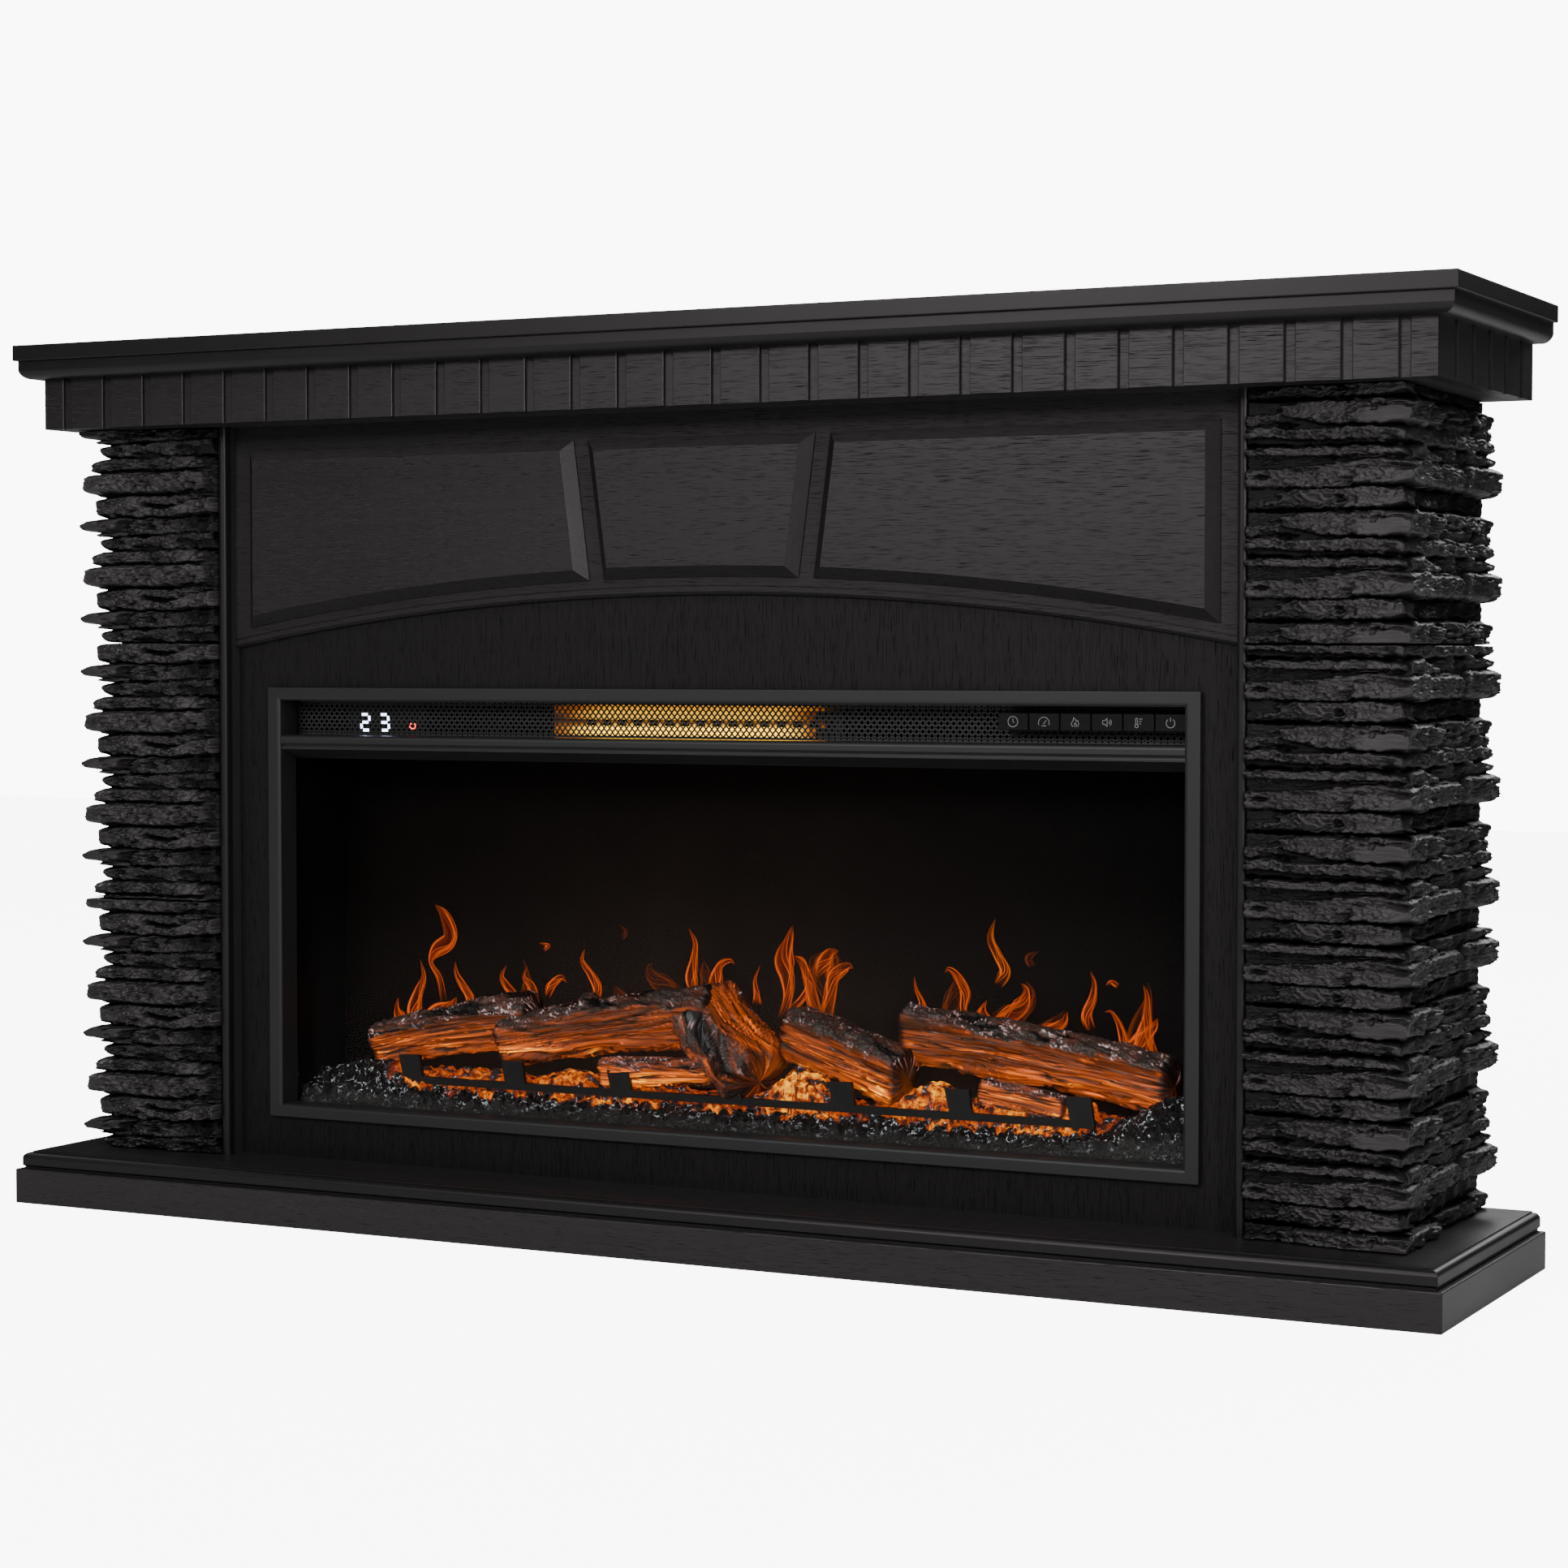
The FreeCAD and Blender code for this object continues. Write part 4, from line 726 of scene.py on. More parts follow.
def ember_bed():
    """Banked coals with raised ends."""
    low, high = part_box("ember_bed")
    x = np.linspace(low.x, high.x, 980) / MM
    y = np.linspace(low.y, high.y, 84) / MM
    grid_x, grid_y = np.meshgrid(x, y)
    back = grid_y - y[0]
    bank = np.interp(back, [0.0, 8.0, 18.0, 30.0, y[-1] - y[0]], [124.0, 127.0, 133.0, 140.0, 146.0])
    left = 26.0 * np.exp(-((grid_x + 470.0) / 62.0) ** 2 - ((grid_y + 4.0) / 30.0) ** 2)
    right = 42.0 * np.exp(-((grid_x - 520.0) / 46.0) ** 2 - ((grid_y + 2.0) / 34.0) ** 2)
    height = bank + left + right + 2.0 * layered(grid_x / 40.0, grid_y / 22.0, 5, 3)
    rise = lump_field(height, x, y, 4200, 2.6, 7.0, np.random.default_rng(7))
    height += 0.7 * layered(grid_x / 3.0, grid_y / 3.0, 8, 2)
    lowest, rim = 119.5, 119.0
    height = np.clip(height, lowest, high.z / MM)
    ash = smooth_step(11.0, 4.0, back + 4.0 * layered(grid_x / 22.0, grid_y / 9.0, 15, 3))
    deep = smooth_step(0.18, -0.05, layered(grid_x / 9.0, grid_y / 7.0, 29, 3) + 0.015 * (rise - 5.0))
    under = smooth_step(-29.0, -24.0, grid_y + 2.0 * layered(grid_x / 15.0, grid_y / 9.0, 19, 2))
    under = under * smooth_step(455.0, 415.0, np.abs(grid_x))
    patch = smooth_step(-0.35, 0.30, layered(grid_x / 24.0, grid_y / 30.0, 23, 3))
    heat = 0.62 * under * deep * smooth_step(0.05, 0.9, patch)
    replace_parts(coal_object("coal_bed", grid_x, grid_y, height, rim, ash, heat), "ember_bed")


def hot_coals():
    """Glowing lumps heaped under and between the logs, behind the grate bar."""
    x = np.linspace(-462.0, 452.0, 820)
    y = np.linspace(-20.0, 26.0, 52)
    grid_x, grid_y = np.meshgrid(x, y)
    # Middle, reach and rise of each glowing heap along X.
    heaps = ((-400, 40, 9), (-326, 40, 13), (-212, 44, 18), (-112, 48, 8), (82, 38, 37), (236, 40, 29),
             (340, 40, 24), (396, 26, 19))
    heap = np.zeros(grid_x.shape)
    for middle, reach, rise in heaps:
        heap += rise * np.exp(-((grid_x - middle) / reach) ** 2)
    slope = np.interp(grid_y, [-20.0, -13.0, 4.0, 26.0], [0.0, 0.75, 1.0, 0.9])
    broken = layered(grid_x / 15.0, grid_y / 12.0, 37, 3)
    height = 142.0 + 5.0 * slope + heap * slope * (1.0 + 0.45 * broken)
    rise = lump_field(height, x, y, 1200, 2.6, 8.0, np.random.default_rng(21), margin=1.0)
    height += 0.9 * layered(grid_x / 3.2, grid_y / 3.2, 31, 2)
    gaps = layered(grid_x / 10.0, (grid_y + height) / 9.0, 33, 4) + 0.008 * (rise - 6.0)
    heat = np.clip((0.14 + heap / 54.0) * (1.0 - 0.97 * smooth_step(-0.06, 0.16, gaps)), 0.0, 1.0)
    highest, rim = 194.0, 132.0
    no_ash = np.zeros(heat.shape)
    coal_object("hot_coals", grid_x, grid_y, np.minimum(height, highest), rim, no_ash, heat)


def log_shape(name, start, end, radii, seed, split, flat, sag=0.0, twist=0.0, warmth=0.0, curl=0.0,
              burnt=0.85, rings=210):
    """Moulded log between two points in millimetres, with bark above and a split face in front.

    The split face looks towards the angle split and lies at the share flat of the radius.
    """
    around = 150
    most_forward, most_rearward = -44.5, 49.3
    start = np.array(start, float)
    span = np.array(end, float) - start
    length = np.linalg.norm(span)
    forward = span / length
    lateral = np.cross(forward, [0.0, 0.0, 1.0])
    lateral /= np.linalg.norm(lateral)
    upward = np.cross(lateral, forward)
    first_radius, last_radius = radii
    mean_radius = (first_radius + last_radius) / 2.0
    cap = 0.42 * min(radii)
    angle = np.linspace(0.0, 2.0 * math.pi, around, endpoint=False)
    grid_t, grid_a = np.meshgrid(np.linspace(0.0, length, rings), angle, indexing="ij")
    share = grid_t / length
    radius = first_radius + (last_radius - first_radius) * share
    turned = grid_a + twist * share
    wrap_x = np.cos(turned) * 3.0
    wrap_y = np.sin(turned) * 3.0
    # Round bark with knobs and fissures.
    swell = layered(grid_t / 55.0 + wrap_x * 0.4, wrap_y * 0.5, seed, 3)
    knobs = layered(grid_t / 12.0 + wrap_x, wrap_y * 2.0, seed + 3, 4)
    fissure = smooth_step(0.10, 0.0, np.abs(layered(grid_t / 15.0 + wrap_x * 1.6, wrap_y * 2.2, seed + 6, 3)))
    round_radius = radius * (1.0 + 0.16 * swell) + 3.6 * knobs - 3.2 * fissure
    # Split face, with steps and lines along the grain.
    facing = np.cos(turned - split)
    across = (turned - split) * mean_radius + curl * 18.0 * (share - 0.5) ** 2 * 4.0
    warp = across + 5.0 * layered(grid_t / 75.0, across / 30.0, seed + 8, 2)
    grain = layered(grid_t / 120.0, warp / 4.6, seed + 9, 2)
    dark_line = smooth_step(0.17, 0.0, np.abs(grain))
    bright_line = smooth_step(0.10, 0.0, np.abs(layered(grid_t / 90.0, warp / 3.1, seed + 14, 2)))
    bright_line = bright_line * smooth_step(-0.2, 0.3, layered(grid_t / 40.0, warp / 9.0, seed + 16, 2))
    ripple = layered(grid_t / 45.0, across / 10.0, seed + 12, 2)
    step = np.round(1.8 * layered(grid_t / 60.0, across / 13.0, seed + 13, 2)) / 1.8
    plane = flat * radius + 2.6 * ripple + 2.8 * step - 1.7 * dark_line + 0.8 * grain
    grazing = 0.12
    plane = plane / np.maximum(facing, grazing)
    final = np.where(facing > grazing, np.minimum(round_radius, plane), round_radius)
    bark = np.where(facing > grazing, smooth_step(-0.5, 1.8, plane - round_radius), 1.0)
    # Rounded, ragged ends.
    from_end = np.minimum(grid_t, length - grid_t)
    jagged = np.maximum(0.4, 1.0 + 0.55 * layered(wrap_x * 1.7, wrap_y * 1.7, seed + 15, 3))
    inside = np.clip(from_end / (cap * jagged), 0.0, 1.0)
    closing = np.sqrt(np.clip(1.0 - (1.0 - inside) ** 2, 0.0, 1.0)) ** 0.8
    final = final * np.maximum(closing, 0.02)
    bend = sag * np.sin(math.pi * share)
    points = start + forward * grid_t[..., None] + upward * bend[..., None]
    points = points + lateral * (np.sin(grid_a) * final)[..., None]
    points = points + upward * (np.cos(grid_a) * final)[..., None]
    points[..., 1] = np.clip(points[..., 1], most_forward, most_rearward)
    # Heat is strongest low down; glow follows the grain lines and seeps out of the bark's fissures.
    lowness = smooth_step(228.0, 160.0, points[..., 2])
    under = smooth_step(0.35, -0.8, np.cos(grid_a))
    patch = smooth_step(-0.35, 0.45, layered(grid_t / 50.0, wrap_y + wrap_x, seed + 18, 2))
    heat = warmth - 0.04 + 0.75 * lowness ** 1.5 * (0.25 + 0.75 * patch) + 0.30 * under * patch
    heat = np.clip(heat, 0.0, 1.0)
    glow = (1.0 - bark) * np.clip(0.40 + 0.50 * grain - 0.80 * dark_line + 1.5 * bright_line, 0.0, 2.2)
    seep = smooth_step(0.05, 0.5, layered(grid_t / 30.0, wrap_y * 1.2, seed + 20, 3))
    seep = np.clip(0.05 + 0.8 * fissure * patch + 0.30 * seep - 0.2 * knobs, 0.0, 1.0)
    glow = glow + bark * seep * (0.3 + 0.7 * heat)
    # Glint: painted highlights, pale flecks on the upper side of the bark.
    glint = bark * smooth_step(0.085, 0.0, np.abs(layered(grid_t / 7.0 + wrap_x, wrap_y * 3.0, seed + 22, 2)))
    glint = glint * smooth_step(-0.05, 0.30, layered(grid_t / 16.0, wrap_y * 2.0 + wrap_x, seed + 24, 2))
    glint = glint * smooth_step(-0.3, 0.5, np.cos(grid_a))
    char = bark * smooth_step(0.0, 0.4, layered(grid_t / 38.0 + wrap_x, wrap_y, seed + 26, 3))
    tip = burnt * smooth_step(1.15, 0.45, from_end / (cap * jagged))
    char = char * (burnt > 0.0) + (1.0 - char) * tip
    masks = {"bark": np.maximum(bark, tip), "warm": heat, "glow": glow * (1.0 - 0.8 * tip), "glint": glint,
             "char": char}
    uv = np.stack([grid_t * MM, grid_a * mean_radius * MM], axis=-1).reshape(-1, 2)
    return grid_object(name, points, LOG, masks, uv=uv, wrap=True)


def logs():
    front_low = 2.0
    shapes = (
        ("log_left", (-480, 2, 184), (-262, 18, 222), (25, 33), 101, front_low, 0.66,
         dict(sag=5.0, warmth=0.12)),
        ("log_long", (-306, -2, 196), (-26, 12, 238), (28, 36), 131, front_low, 0.55,
         dict(sag=6.0, warmth=0.10, curl=1.0)),
        ("log_crossing", (-62, 32, 252), (34, -10, 172), (44, 42), 161, 0.45, 0.80,
         dict(twist=0.5, warmth=0.24, curl=1.6, burnt=0.55)),
        ("log_middle", (52, 14, 230), (210, -2, 184), (30, 36), 191, front_low, 0.58, dict(warmth=0.10)),
        ("log_right", (194, 14, 232), (512, 2, 192), (32, 31), 221, front_low, 0.5,
         dict(sag=4.0, warmth=0.12)))
    for node, start, end, radii, seed, split, flat, more in shapes:
        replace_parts(log_shape(node + "_shape", start, end, radii, seed, split, flat, **more), node)
    rear = log_shape("log_rear_shape", (-128, 32, 238), (-30, 32, 256), (16, 18), 251, 3.0, 0.9)
    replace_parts(rear, "small_logs")
    log_shape("kindling_left", (-168, -8, 172), (-22, -10, 180), (17, 15), 281, front_low, 0.7, warmth=0.35)
    log_shape("kindling_right", (296, -8, 178), (398, -10, 164), (15, 13), 311, 1.7, 0.7, warmth=0.35)
    log_shape("log_stub", (-186, 30, 224), (-190, -6, 246), (15, 19), 341, 0.0, 2.0, warmth=-0.6, burnt=0.0,
              rings=90)


# ---- flame pictures ----
# Strands of flame as (x, z, width) from foot to tip in millimetres, by the look of their glow.
WISPS = [
    [(-462, 196, 20), (-474, 210, 24), (-480, 222, 10), (-478, 236, 2)],
    [(-448, 200, 30), (-456, 222, 26), (-450, 244, 16), (-442, 262, 9), (-446, 282, 1)],
    [(-440, 206, 26), (-424, 222, 26), (-404, 230, 14), (-396, 240, 2)],
    [(-380, 226, 10), (-378, 240, 15), (-388, 256, 12), (-396, 268, 8), (-398, 282, 1)],
    [(-322, 232, 18), (-318, 246, 14), (-328, 258, 12), (-334, 268, 7), (-328, 280, 1)],
    [(-290, 244, 20), (-294, 258, 14), (-304, 268, 6), (-300, 280, 1)],
    [(-272, 246, 10), (-266, 260, 14), (-254, 270, 8), (-246, 264, 1)],
    [(-206, 246, 12), (-206, 260, 16), (-216, 276, 11), (-226, 290, 7), (-222, 304, 1)],
    [(-78, 258, 12), (-84, 276, 19), (-80, 298, 12), (-78, 316, 8), (-86, 332, 1)],
    [(-56, 262, 18), (-52, 278, 20), (-46, 292, 11), (-34, 298, 6), (-28, 294, 1)],
    [(0, 250, 16), (0, 264, 9), (-2, 278, 5), (4, 294, 1)],
    [(76, 238, 20), (70, 262, 18), (64, 284, 14), (56, 300, 12), (46, 306, 1)],
    [(86, 238, 22), (92, 262, 18), (96, 286, 20), (112, 298, 12), (120, 296, 1)],
    [(80, 284, 20), (84, 300, 26), (92, 312, 14), (102, 314, 1)],
    [(206, 250, 14), (202, 264, 8), (196, 276, 5), (194, 290, 1)],
    [(256, 240, 10), (252, 258, 10), (254, 276, 16), (246, 292, 12), (236, 300, 6), (230, 296, 1)],
    [(284, 238, 20), (276, 250, 20), (276, 260, 8), (280, 268, 1)],
    [(284, 240, 16), (304, 250, 22), (322, 264, 22), (326, 280, 10), (320, 288, 1)],
    [(338, 234, 14), (352, 238, 18), (368, 248, 12), (374, 260, 1)],
    [(402, 242, 12), (396, 258, 16), (402, 276, 11), (404, 292, 6), (400, 304, 1)],
    [(444, 214, 18), (438, 232, 14), (432, 250, 8), (424, 262, 4), (416, 262, 1)],
    [(462, 212, 34), (460, 236, 26), (464, 258, 14), (464, 280, 7), (460, 292, 1)],
    [(436, 218, 14), (450, 228, 22), (470, 246, 14), (476, 258, 1)],
    [(-276, 300, 5), (-270, 306, 6), (-282, 308, 1)],
    [(432, 290, 7), (424, 294, 6), (418, 290, 1)]]
SHADES = [
    [(-412, 234, 12), (-418, 262, 10), (-430, 280, 8), (-422, 296, 22), (-404, 310, 24), (-412, 336, 16),
     (-424, 348, 1)],
    [(34, 236, 16), (40, 262, 16), (38, 282, 22), (34, 302, 30), (42, 326, 14), (46, 340, 1)],
    [(44, 246, 12), (56, 258, 10), (66, 272, 12), (62, 282, 6), (56, 284, 1)]]
SMOKES = [
    [(-296, 246, 24), (-298, 262, 16), (-300, 278, 6), (-304, 290, 1)],
    [(-172, 240, 30), (-176, 252, 22), (-182, 264, 1)],
    [(-96, 250, 20), (-110, 262, 26), (-128, 272, 26), (-136, 284, 12), (-132, 292, 1)],
    [(-60, 264, 26), (-64, 284, 18), (-66, 298, 1)],
    [(80, 240, 40), (84, 272, 44), (90, 304, 44), (92, 318, 1)],
    [(236, 240, 22), (240, 262, 24), (246, 286, 16), (244, 300, 1)],
    [(290, 240, 34), (318, 256, 30), (330, 276, 18), (326, 292, 1)],
    [(344, 234, 26), (360, 246, 22), (372, 262, 1)],
    [(456, 214, 44), (456, 244, 34), (466, 276, 14), (466, 296, 1)],
    [(-172, 318, 8), (-166, 326, 6), (-176, 334, 1)],
    [(334, 306, 10), (330, 316, 10), (342, 324, 1)]]
TWISTS = [[(294, 284, 14), (302, 300, 17), (292, 318, 12), (284, 336, 10), (290, 356, 1)]]


def smooth_line(points):
    """Catmull-Rom curve through points, which may carry a width as their last value."""
    count = 44
    points = np.array(points, float)
    padded = np.vstack([2 * points[0] - points[1], points, 2 * points[-1] - points[-2]])
    where = np.linspace(0.0, len(points) - 1.001, count)
    index = where.astype(int)
    f = (where - index)[:, None]
    a, b, c, d = (padded[index + k] for k in range(4))
    square = (2 * a - 5 * b + 4 * c - d) * f ** 2
    cube = (3 * b - a - 3 * c + d) * f ** 3
    return 0.5 * ((2 * b) + (c - a) * f + square + cube)


def sideways(points):
    """Unit normals of a flat line, to its left."""
    tangent = np.gradient(points, axis=0)
    tangent /= np.maximum(np.linalg.norm(tangent, axis=1)[:, None], 1e-6)
    return np.stack([-tangent[:, 1], tangent[:, 0]], axis=1)


def flame_picture(name, lines, material, first_layer):
    """Strands of flame in one piece: each line of (x, z, width) points makes a wide and two thin ribbons."""
    clearance, line_step, strand_step = 0.6, 0.1, 0.03
    plane_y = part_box("flame_screen")[0].y / MM - clearance
    v = np.linspace(-1.0, 1.0, 9)
    grids = []
    for number, line in enumerate(lines):
        curve = smooth_line(line)
        t = np.linspace(0.0, 1.0, len(curve))
        normal = sideways(curve[:, :2])
        for strand, (share, sway) in enumerate(((0.78, 0.0), (0.30, 0.34), (0.22, -0.38))):
            drift = sway * curve[:, 2] * np.sin(5.0 * t + number + 2.0 * strand)
            spine = curve[:, :2] + normal * drift[:, None]
            girth = np.maximum(curve[:, 2] * share, 0.5) / 2.0
            flat = spine[:, None, :] + normal[:, None, :] * (girth[:, None] * v[None, :])[..., None]
            depth = plane_y - line_step * (first_layer + number) - strand_step * strand
            grids.append(np.stack([flat[..., 0], np.full(flat.shape[:2], depth), flat[..., 1]], axis=-1))
    rows, columns = grids[0].shape[:2]
    faces = np.concatenate([grid_faces(rows, columns) + rows * columns * k for k in range(len(grids))])
    uv = np.stack(np.meshgrid(t, (v + 1.0) / 2.0, indexing="ij"), axis=-1).reshape(-1, 2)
    points = np.concatenate([g.reshape(-1, 3) for g in grids]) * MM
    new_object(name, points, faces, material, uv=np.tile(uv, (len(grids), 1)))


def flames():
    groups = (("flame", WISPS, flame_paint("flame_wisp", (0.62, 0.060, 0.006), (1.60, 0.27, 0.014), 0.90)),
              ("twist", TWISTS, flame_paint("flame_twist", (0.60, 0.070, 0.004), (1.5, 0.36, 0.010), 0.90)),
              ("shade", SHADES, flame_paint("flame_red", (0.60, 0.040, 0.012), (1.2, 0.26, 0.006), 1.0)),
              ("smoke", SMOKES, flame_paint("flame_smoke", (0.22, 0.035, 0.008), (0.35, 0.06, 0.01), 0.5)))
    layer = 0
    for word, strands, material in groups:
        flame_picture("picture_" + word, strands, material, layer)
        layer += len(strands)


# ---- heater outlet, keys and readout ----
def vent_mesh():
    """Expanded metal: zigzag strands that meet at the corners of small diamonds."""
    low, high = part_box("vent_mesh")
    cell_x = 7.1 * MM
    cell_z = 9.4 * MM
    strand = 1.5 * MM
    depth = 0.9 * MM
    columns = int((high.x - low.x) / (cell_x / 2.0))
    rows = int(round((high.z - low.z) / (cell_z / 2.0)))
    step_x = (high.x - low.x) / columns
    step_z = (high.z - low.z) / rows
    section = ((0.0, -strand), (0.0, strand), (depth, strand * 0.6), (depth, -strand * 0.9))
    vertices = []
    faces = []
    for row in range(rows + 1):
        base = len(vertices)
        for column in range(columns + 1):
            x = low.x + column * step_x
            up = 1.0 if (column + row) % 2 else -1.0
            z = low.z + row * step_z + up * step_z * 0.42
            z = min(max(z, low.z + strand), high.z - strand)
            vertices += [(x, low.y + 0.1 * MM + dy, z + dz) for dy, dz in section]
        for column in range(columns):
            a = base + column * 4
            b = a + 4
            faces += [(a + k, b + k, b + (k + 1) % 4, a + (k + 1) % 4) for k in range(4)]
    paint = powder_coat("mesh_black", (0.028, 0.028, 0.029), 0.45)
    strands = new_object("vent_mesh_strands", vertices, faces, paint, smooth=False)
    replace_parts(strands, "vent_mesh")


def stroke(points, width, y):
    """Flat ribbon of a given width along a line of (x, z) points, facing the front."""
    points = np.array(points, float)
    aside = sideways(points) * width / 2.0
    vertices = []
    for a, b in zip(points + aside, points - aside):
        vertices += [(a[0], y, a[1]), (b[0], y, b[1])]
    faces = [(2 * i, 2 * i + 1, 2 * i + 3, 2 * i + 2) for i in range(len(points) - 1)]
    return vertices, faces


def stroke_object(name, strokes, material, body=ROOT):
    """One flat object from several ribbons."""
    vertices = []
    faces = []
    for some_vertices, some_faces in strokes:
        base = len(vertices)
        vertices += some_vertices
        faces += [tuple(i + base for i in face) for face in some_faces]
    new_object(name, vertices, faces, material, smooth=False, body=body)


def circle_line(cx, cz, radius, start=0.0, end=360.0, count=40):
    angles = np.radians(np.linspace(start, end, count))
    return [(cx + radius * math.cos(a), cz + radius * math.sin(a)) for a in angles]


# Generic symbols of the keys in a box from -1 to 1, as lists of lines.
ICONS = {
    "timer": [circle_line(0, 0, 1.0), [(0, 0.05), (0, 0.6)], [(0.3, -0.2), (0.0, 0.05)]],
    "speed": [circle_line(0, -0.2, 1.1, 200.0, -20.0), [(-0.1, -0.4), (0.5, 0.3)],
              [(-0.45, -0.75), (0.45, -0.75)]],
    "flame": [[(-0.5, -0.9), (-0.8, -0.3), (-0.4, 0.3), (-0.3, 0.9), (0.1, 0.5), (0.25, 0.1), (0.5, 0.4),
               (0.75, -0.3), (0.5, -0.9)],
              [(-0.1, -0.9), (-0.2, -0.4), (0.05, -0.1), (0.25, -0.5), (0.2, -0.9)]],
    "sound": [[(-0.8, -0.35), (-0.8, 0.35), (-0.35, 0.35), (0.1, 0.85), (0.1, -0.85), (-0.35, -0.35),
               (-0.8, -0.35)],
              circle_line(0.15, 0, 0.45, -45.0, 45.0, 12), circle_line(0.15, 0, 0.8, -45.0, 45.0, 14)],
    "heat": [[(-0.55, -0.35), (-0.55, 0.85), (-0.2, 0.85), (-0.2, -0.35)], circle_line(-0.38, -0.62, 0.32),
             [(0.15, 0.7), (0.8, 0.7)], [(0.15, 0.25), (0.65, 0.25)], [(0.15, -0.2), (0.5, -0.2)]],
    "power": [circle_line(0, -0.05, 0.85, 125.0, 415.0), [(0, 0.25), (0, 1.0)]]}


def key_icons():
    # The grey print on the keys gets a faint painted glow of its own.
    ink_with_painted_glow = light_paint("icon_grey", (0.20, 0.20, 0.205), 0.16)
    size = 5.4 * MM
    width = 0.75 * MM
    for kind, lines in ICONS.items():
        node = "key_" + kind
        low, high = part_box(node)
        cx = (low.x + high.x) / 2.0
        cz = (low.z + high.z) / 2.0
        strokes = []
        for line in lines:
            fine = []
            for (ax, az), (bx, bz) in zip(line[:-1], line[1:]):
                fine += [(ax + (bx - ax) * f, az + (bz - az) * f) for f in (0.0, 0.5)]
            fine.append(line[-1])
            placed = [(cx + x * size, cz + z * size) for x, z in fine]
            strokes.append(stroke(placed, width, low.y - 0.06 * MM))
        stroke_object("icon_" + kind, strokes, ink_with_painted_glow, node)


def digit_strokes(character, x, z, width, height, y):
    """Digit of seven segments, each a short bar clear of its neighbours."""
    lit = {"2": "abged", "3": "abgcd"}
    ends = {"a": ((0, 1), (1, 1)), "b": ((1, 1), (1, 0.5)), "c": ((1, 0.5), (1, 0)), "d": ((0, 0), (1, 0)),
            "e": ((0, 0.5), (0, 0)), "g": ((0, 0.5), (1, 0.5))}
    gap = 0.10 * height
    strokes = []
    for letter in lit[character]:
        a, b = (np.array([x + across * width + 0.14 * width * (0.5 - up), z + up * height])
                for across, up in ends[letter])
        along = (b - a) / np.linalg.norm(b - a)
        start = a + along * gap
        end = b - along * gap
        line = [start + (end - start) * f for f in np.linspace(0.0, 1.0, 5)]
        strokes.append(stroke(line, 0.17 * height, y))
    return strokes


def readout():
    """Two lit digits and a small red heat mark let into the outlet mesh."""
    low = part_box("display_module")[0]
    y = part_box("vent_mesh")[0].y + 0.02 * MM
    height = 18.0 * MM
    width = 11.5 * MM
    z = low.z + 5.0 * MM
    left = low.x + 19.0 * MM
    second = left + 26.0 * MM
    strokes = digit_strokes("2", left, z, width, height, y) + digit_strokes("3", second, z, width, height, y)
    digit_blue = light_paint("digit_blue", (0.62, 0.66, 1.0), 9.0)
    stroke_object("readout_digits", strokes, digit_blue)
    mark_x = left + 66.0 * MM
    marks = ((1.4, ((0.0, 5.0), (3.0, 2.0), (7.0, 2.5), (8.5, 6.0), (6.5, 8.0))),
             (1.8, ((1.0, 7.5), (3.0, 7.5))))
    strokes = [stroke([(mark_x + across * MM, z + up * MM) for across, up in line], thick * MM, y)
               for thick, line in marks]
    stroke_object("readout_mark", strokes, light_paint("mark_red", (1.0, 0.06, 0.02), 5.0))


# ---- stage ----
def link(name, data):
    """New scene object for a light, camera or floor."""
    obj = bpy.data.objects.new(name, data)
    bpy.context.scene.collection.objects.link(obj)
    return obj


def aim(obj, place, direction):
    """Puts a light or camera at a place, looking along a direction."""
    obj.location = place
    obj.rotation_euler = direction.to_track_quat("-Z", "Y").to_euler()


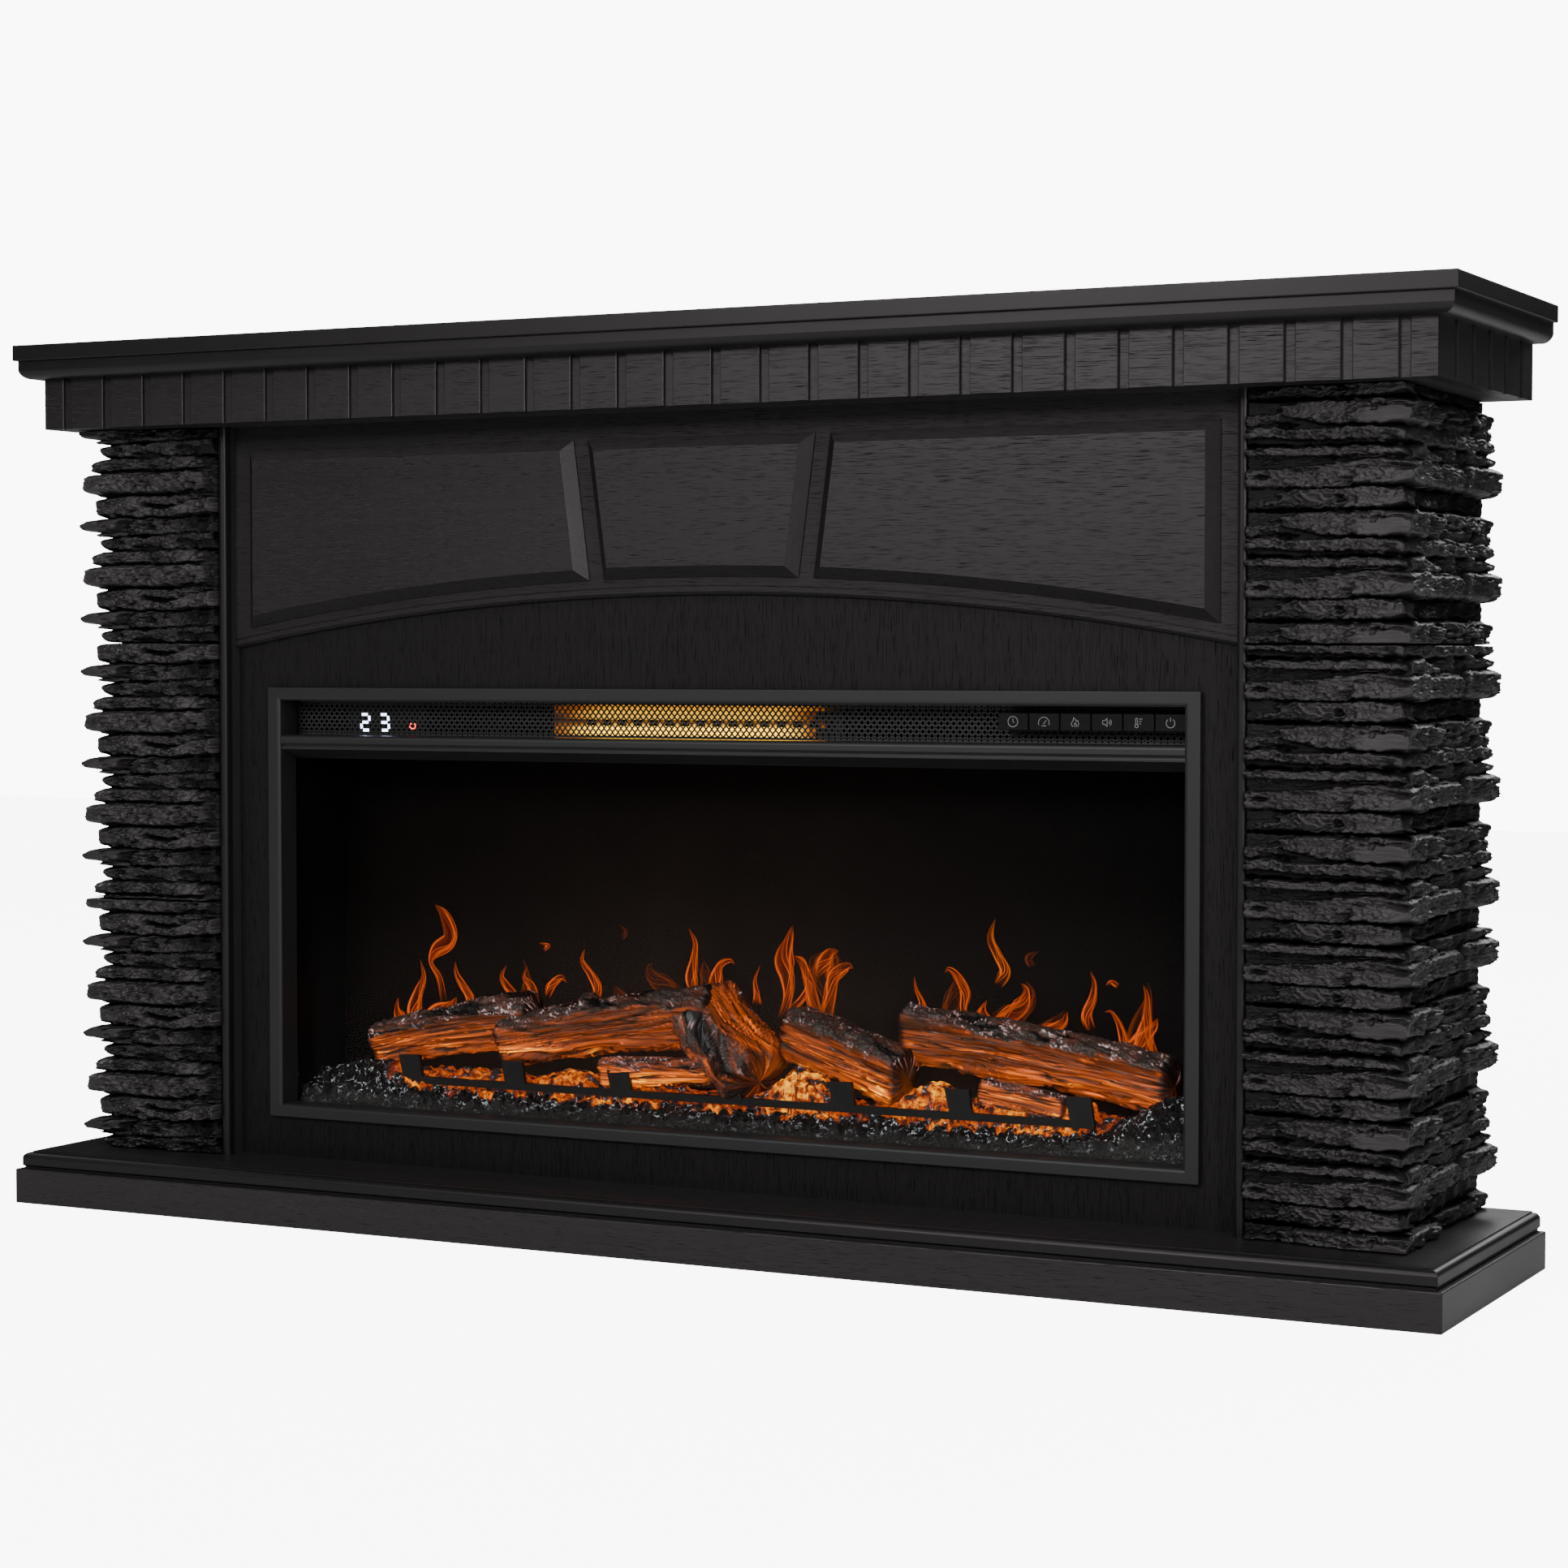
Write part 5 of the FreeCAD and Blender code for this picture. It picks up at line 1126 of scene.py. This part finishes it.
def stage():
    """Pale floor, and a world that is bright to the camera and dim to the part."""
    half = 9.0
    corners = [(-half, -half, 0), (half, -half, 0), (half, half, 0), (-half, half, 0)]
    mesh = bpy.data.meshes.new("floor")
    mesh.from_pydata(corners, [], [(0, 1, 2, 3)])
    paint = Paint("floor_pale")
    seen = paint.node("LightPath").outputs["Is Camera Ray"]
    paint.set(Base_Color=rgba(0.86, 0.86, 0.86), Roughness=0.6, Specular_IOR_Level=0.2, Emission_Color=WHITE,
              Emission_Strength=paint.times(seen, 8.0))
    mesh.materials.append(paint.material)
    link("floor", mesh)

    world = bpy.data.worlds.new("studio")
    world.use_nodes = True
    nodes = world.node_tree.nodes
    background = nodes["Background"].inputs
    background["Color"].default_value = WHITE
    seen = nodes.new("ShaderNodeLightPath").outputs["Is Camera Ray"]
    level = nodes.new("ShaderNodeMapRange")
    level.inputs["To Min"].default_value = 0.024
    level.inputs["To Max"].default_value = 9.5
    world.node_tree.links.new(seen, level.inputs["Value"])
    world.node_tree.links.new(level.outputs["Result"], background["Strength"])
    bpy.context.scene.world = world


def lights():
    """Softboxes: place, target, width, height and power."""
    softboxes = (("key_light", (-1.0, -3.9, 2.2), (0.0, 0.0, 0.6), 1.8, 1.3, 66.0),
                 ("near_light", (1.9, -2.7, 1.4), (-0.3, 0.0, 0.6), 0.4, 1.2, 15.0),
                 ("top_light", (0.3, -1.9, 3.4), (0.0, -0.1, 0.5), 2.2, 0.7, 37.0),
                 ("right_light", (2.9, -0.9, 2.9), (0.8, 0.0, 0.5), 0.6, 0.8, 10.0),
                 ("left_light", (-3.4, 0.4, 1.6), (-0.8, 0.0, 0.5), 0.7, 1.4, 22.0),
                 ("edge_light", (2.50, -1.90, 1.25), (-0.3, -0.1, 0.9), 0.15, 1.0, 22.0),
                 ("back_light", (0.6, 3.8, 2.6), (0.0, 0.1, 0.5), 2.4, 1.4, 90.0))
    for name, place, target, width, height, power in softboxes:
        data = bpy.data.lights.new(name, "AREA")
        data.shape = "RECTANGLE"
        data.size = width
        data.size_y = height
        data.energy = power
        lamp = link(name, data)
        aim(lamp, place, Vector(target) - Vector(place))
        lamp.visible_camera = False


def camera():
    """Seen from 27 degrees to the right of the front and about 2 degrees down."""
    data = bpy.data.cameras.new("camera")
    data.sensor_width = 36.0
    data.lens = 77.31
    turn = math.radians(27.022)
    down = math.radians(2.135)
    direction = Vector((-math.sin(turn) * math.cos(down), math.cos(turn) * math.cos(down), -math.sin(down)))
    eye = link("camera", data)
    aim(eye, (1.72985, -3.27626, 0.63628), direction)
    bpy.context.scene.camera = eye


# ---- everything together ----
STONE = stone_paint()
LOG = log_paint()
EMBER = ember_paint()

for make in (dress_frame, stone_columns, ember_bed, hot_coals, logs, flames, vent_mesh, key_icons, readout,
             stage, lights, camera):
    make()
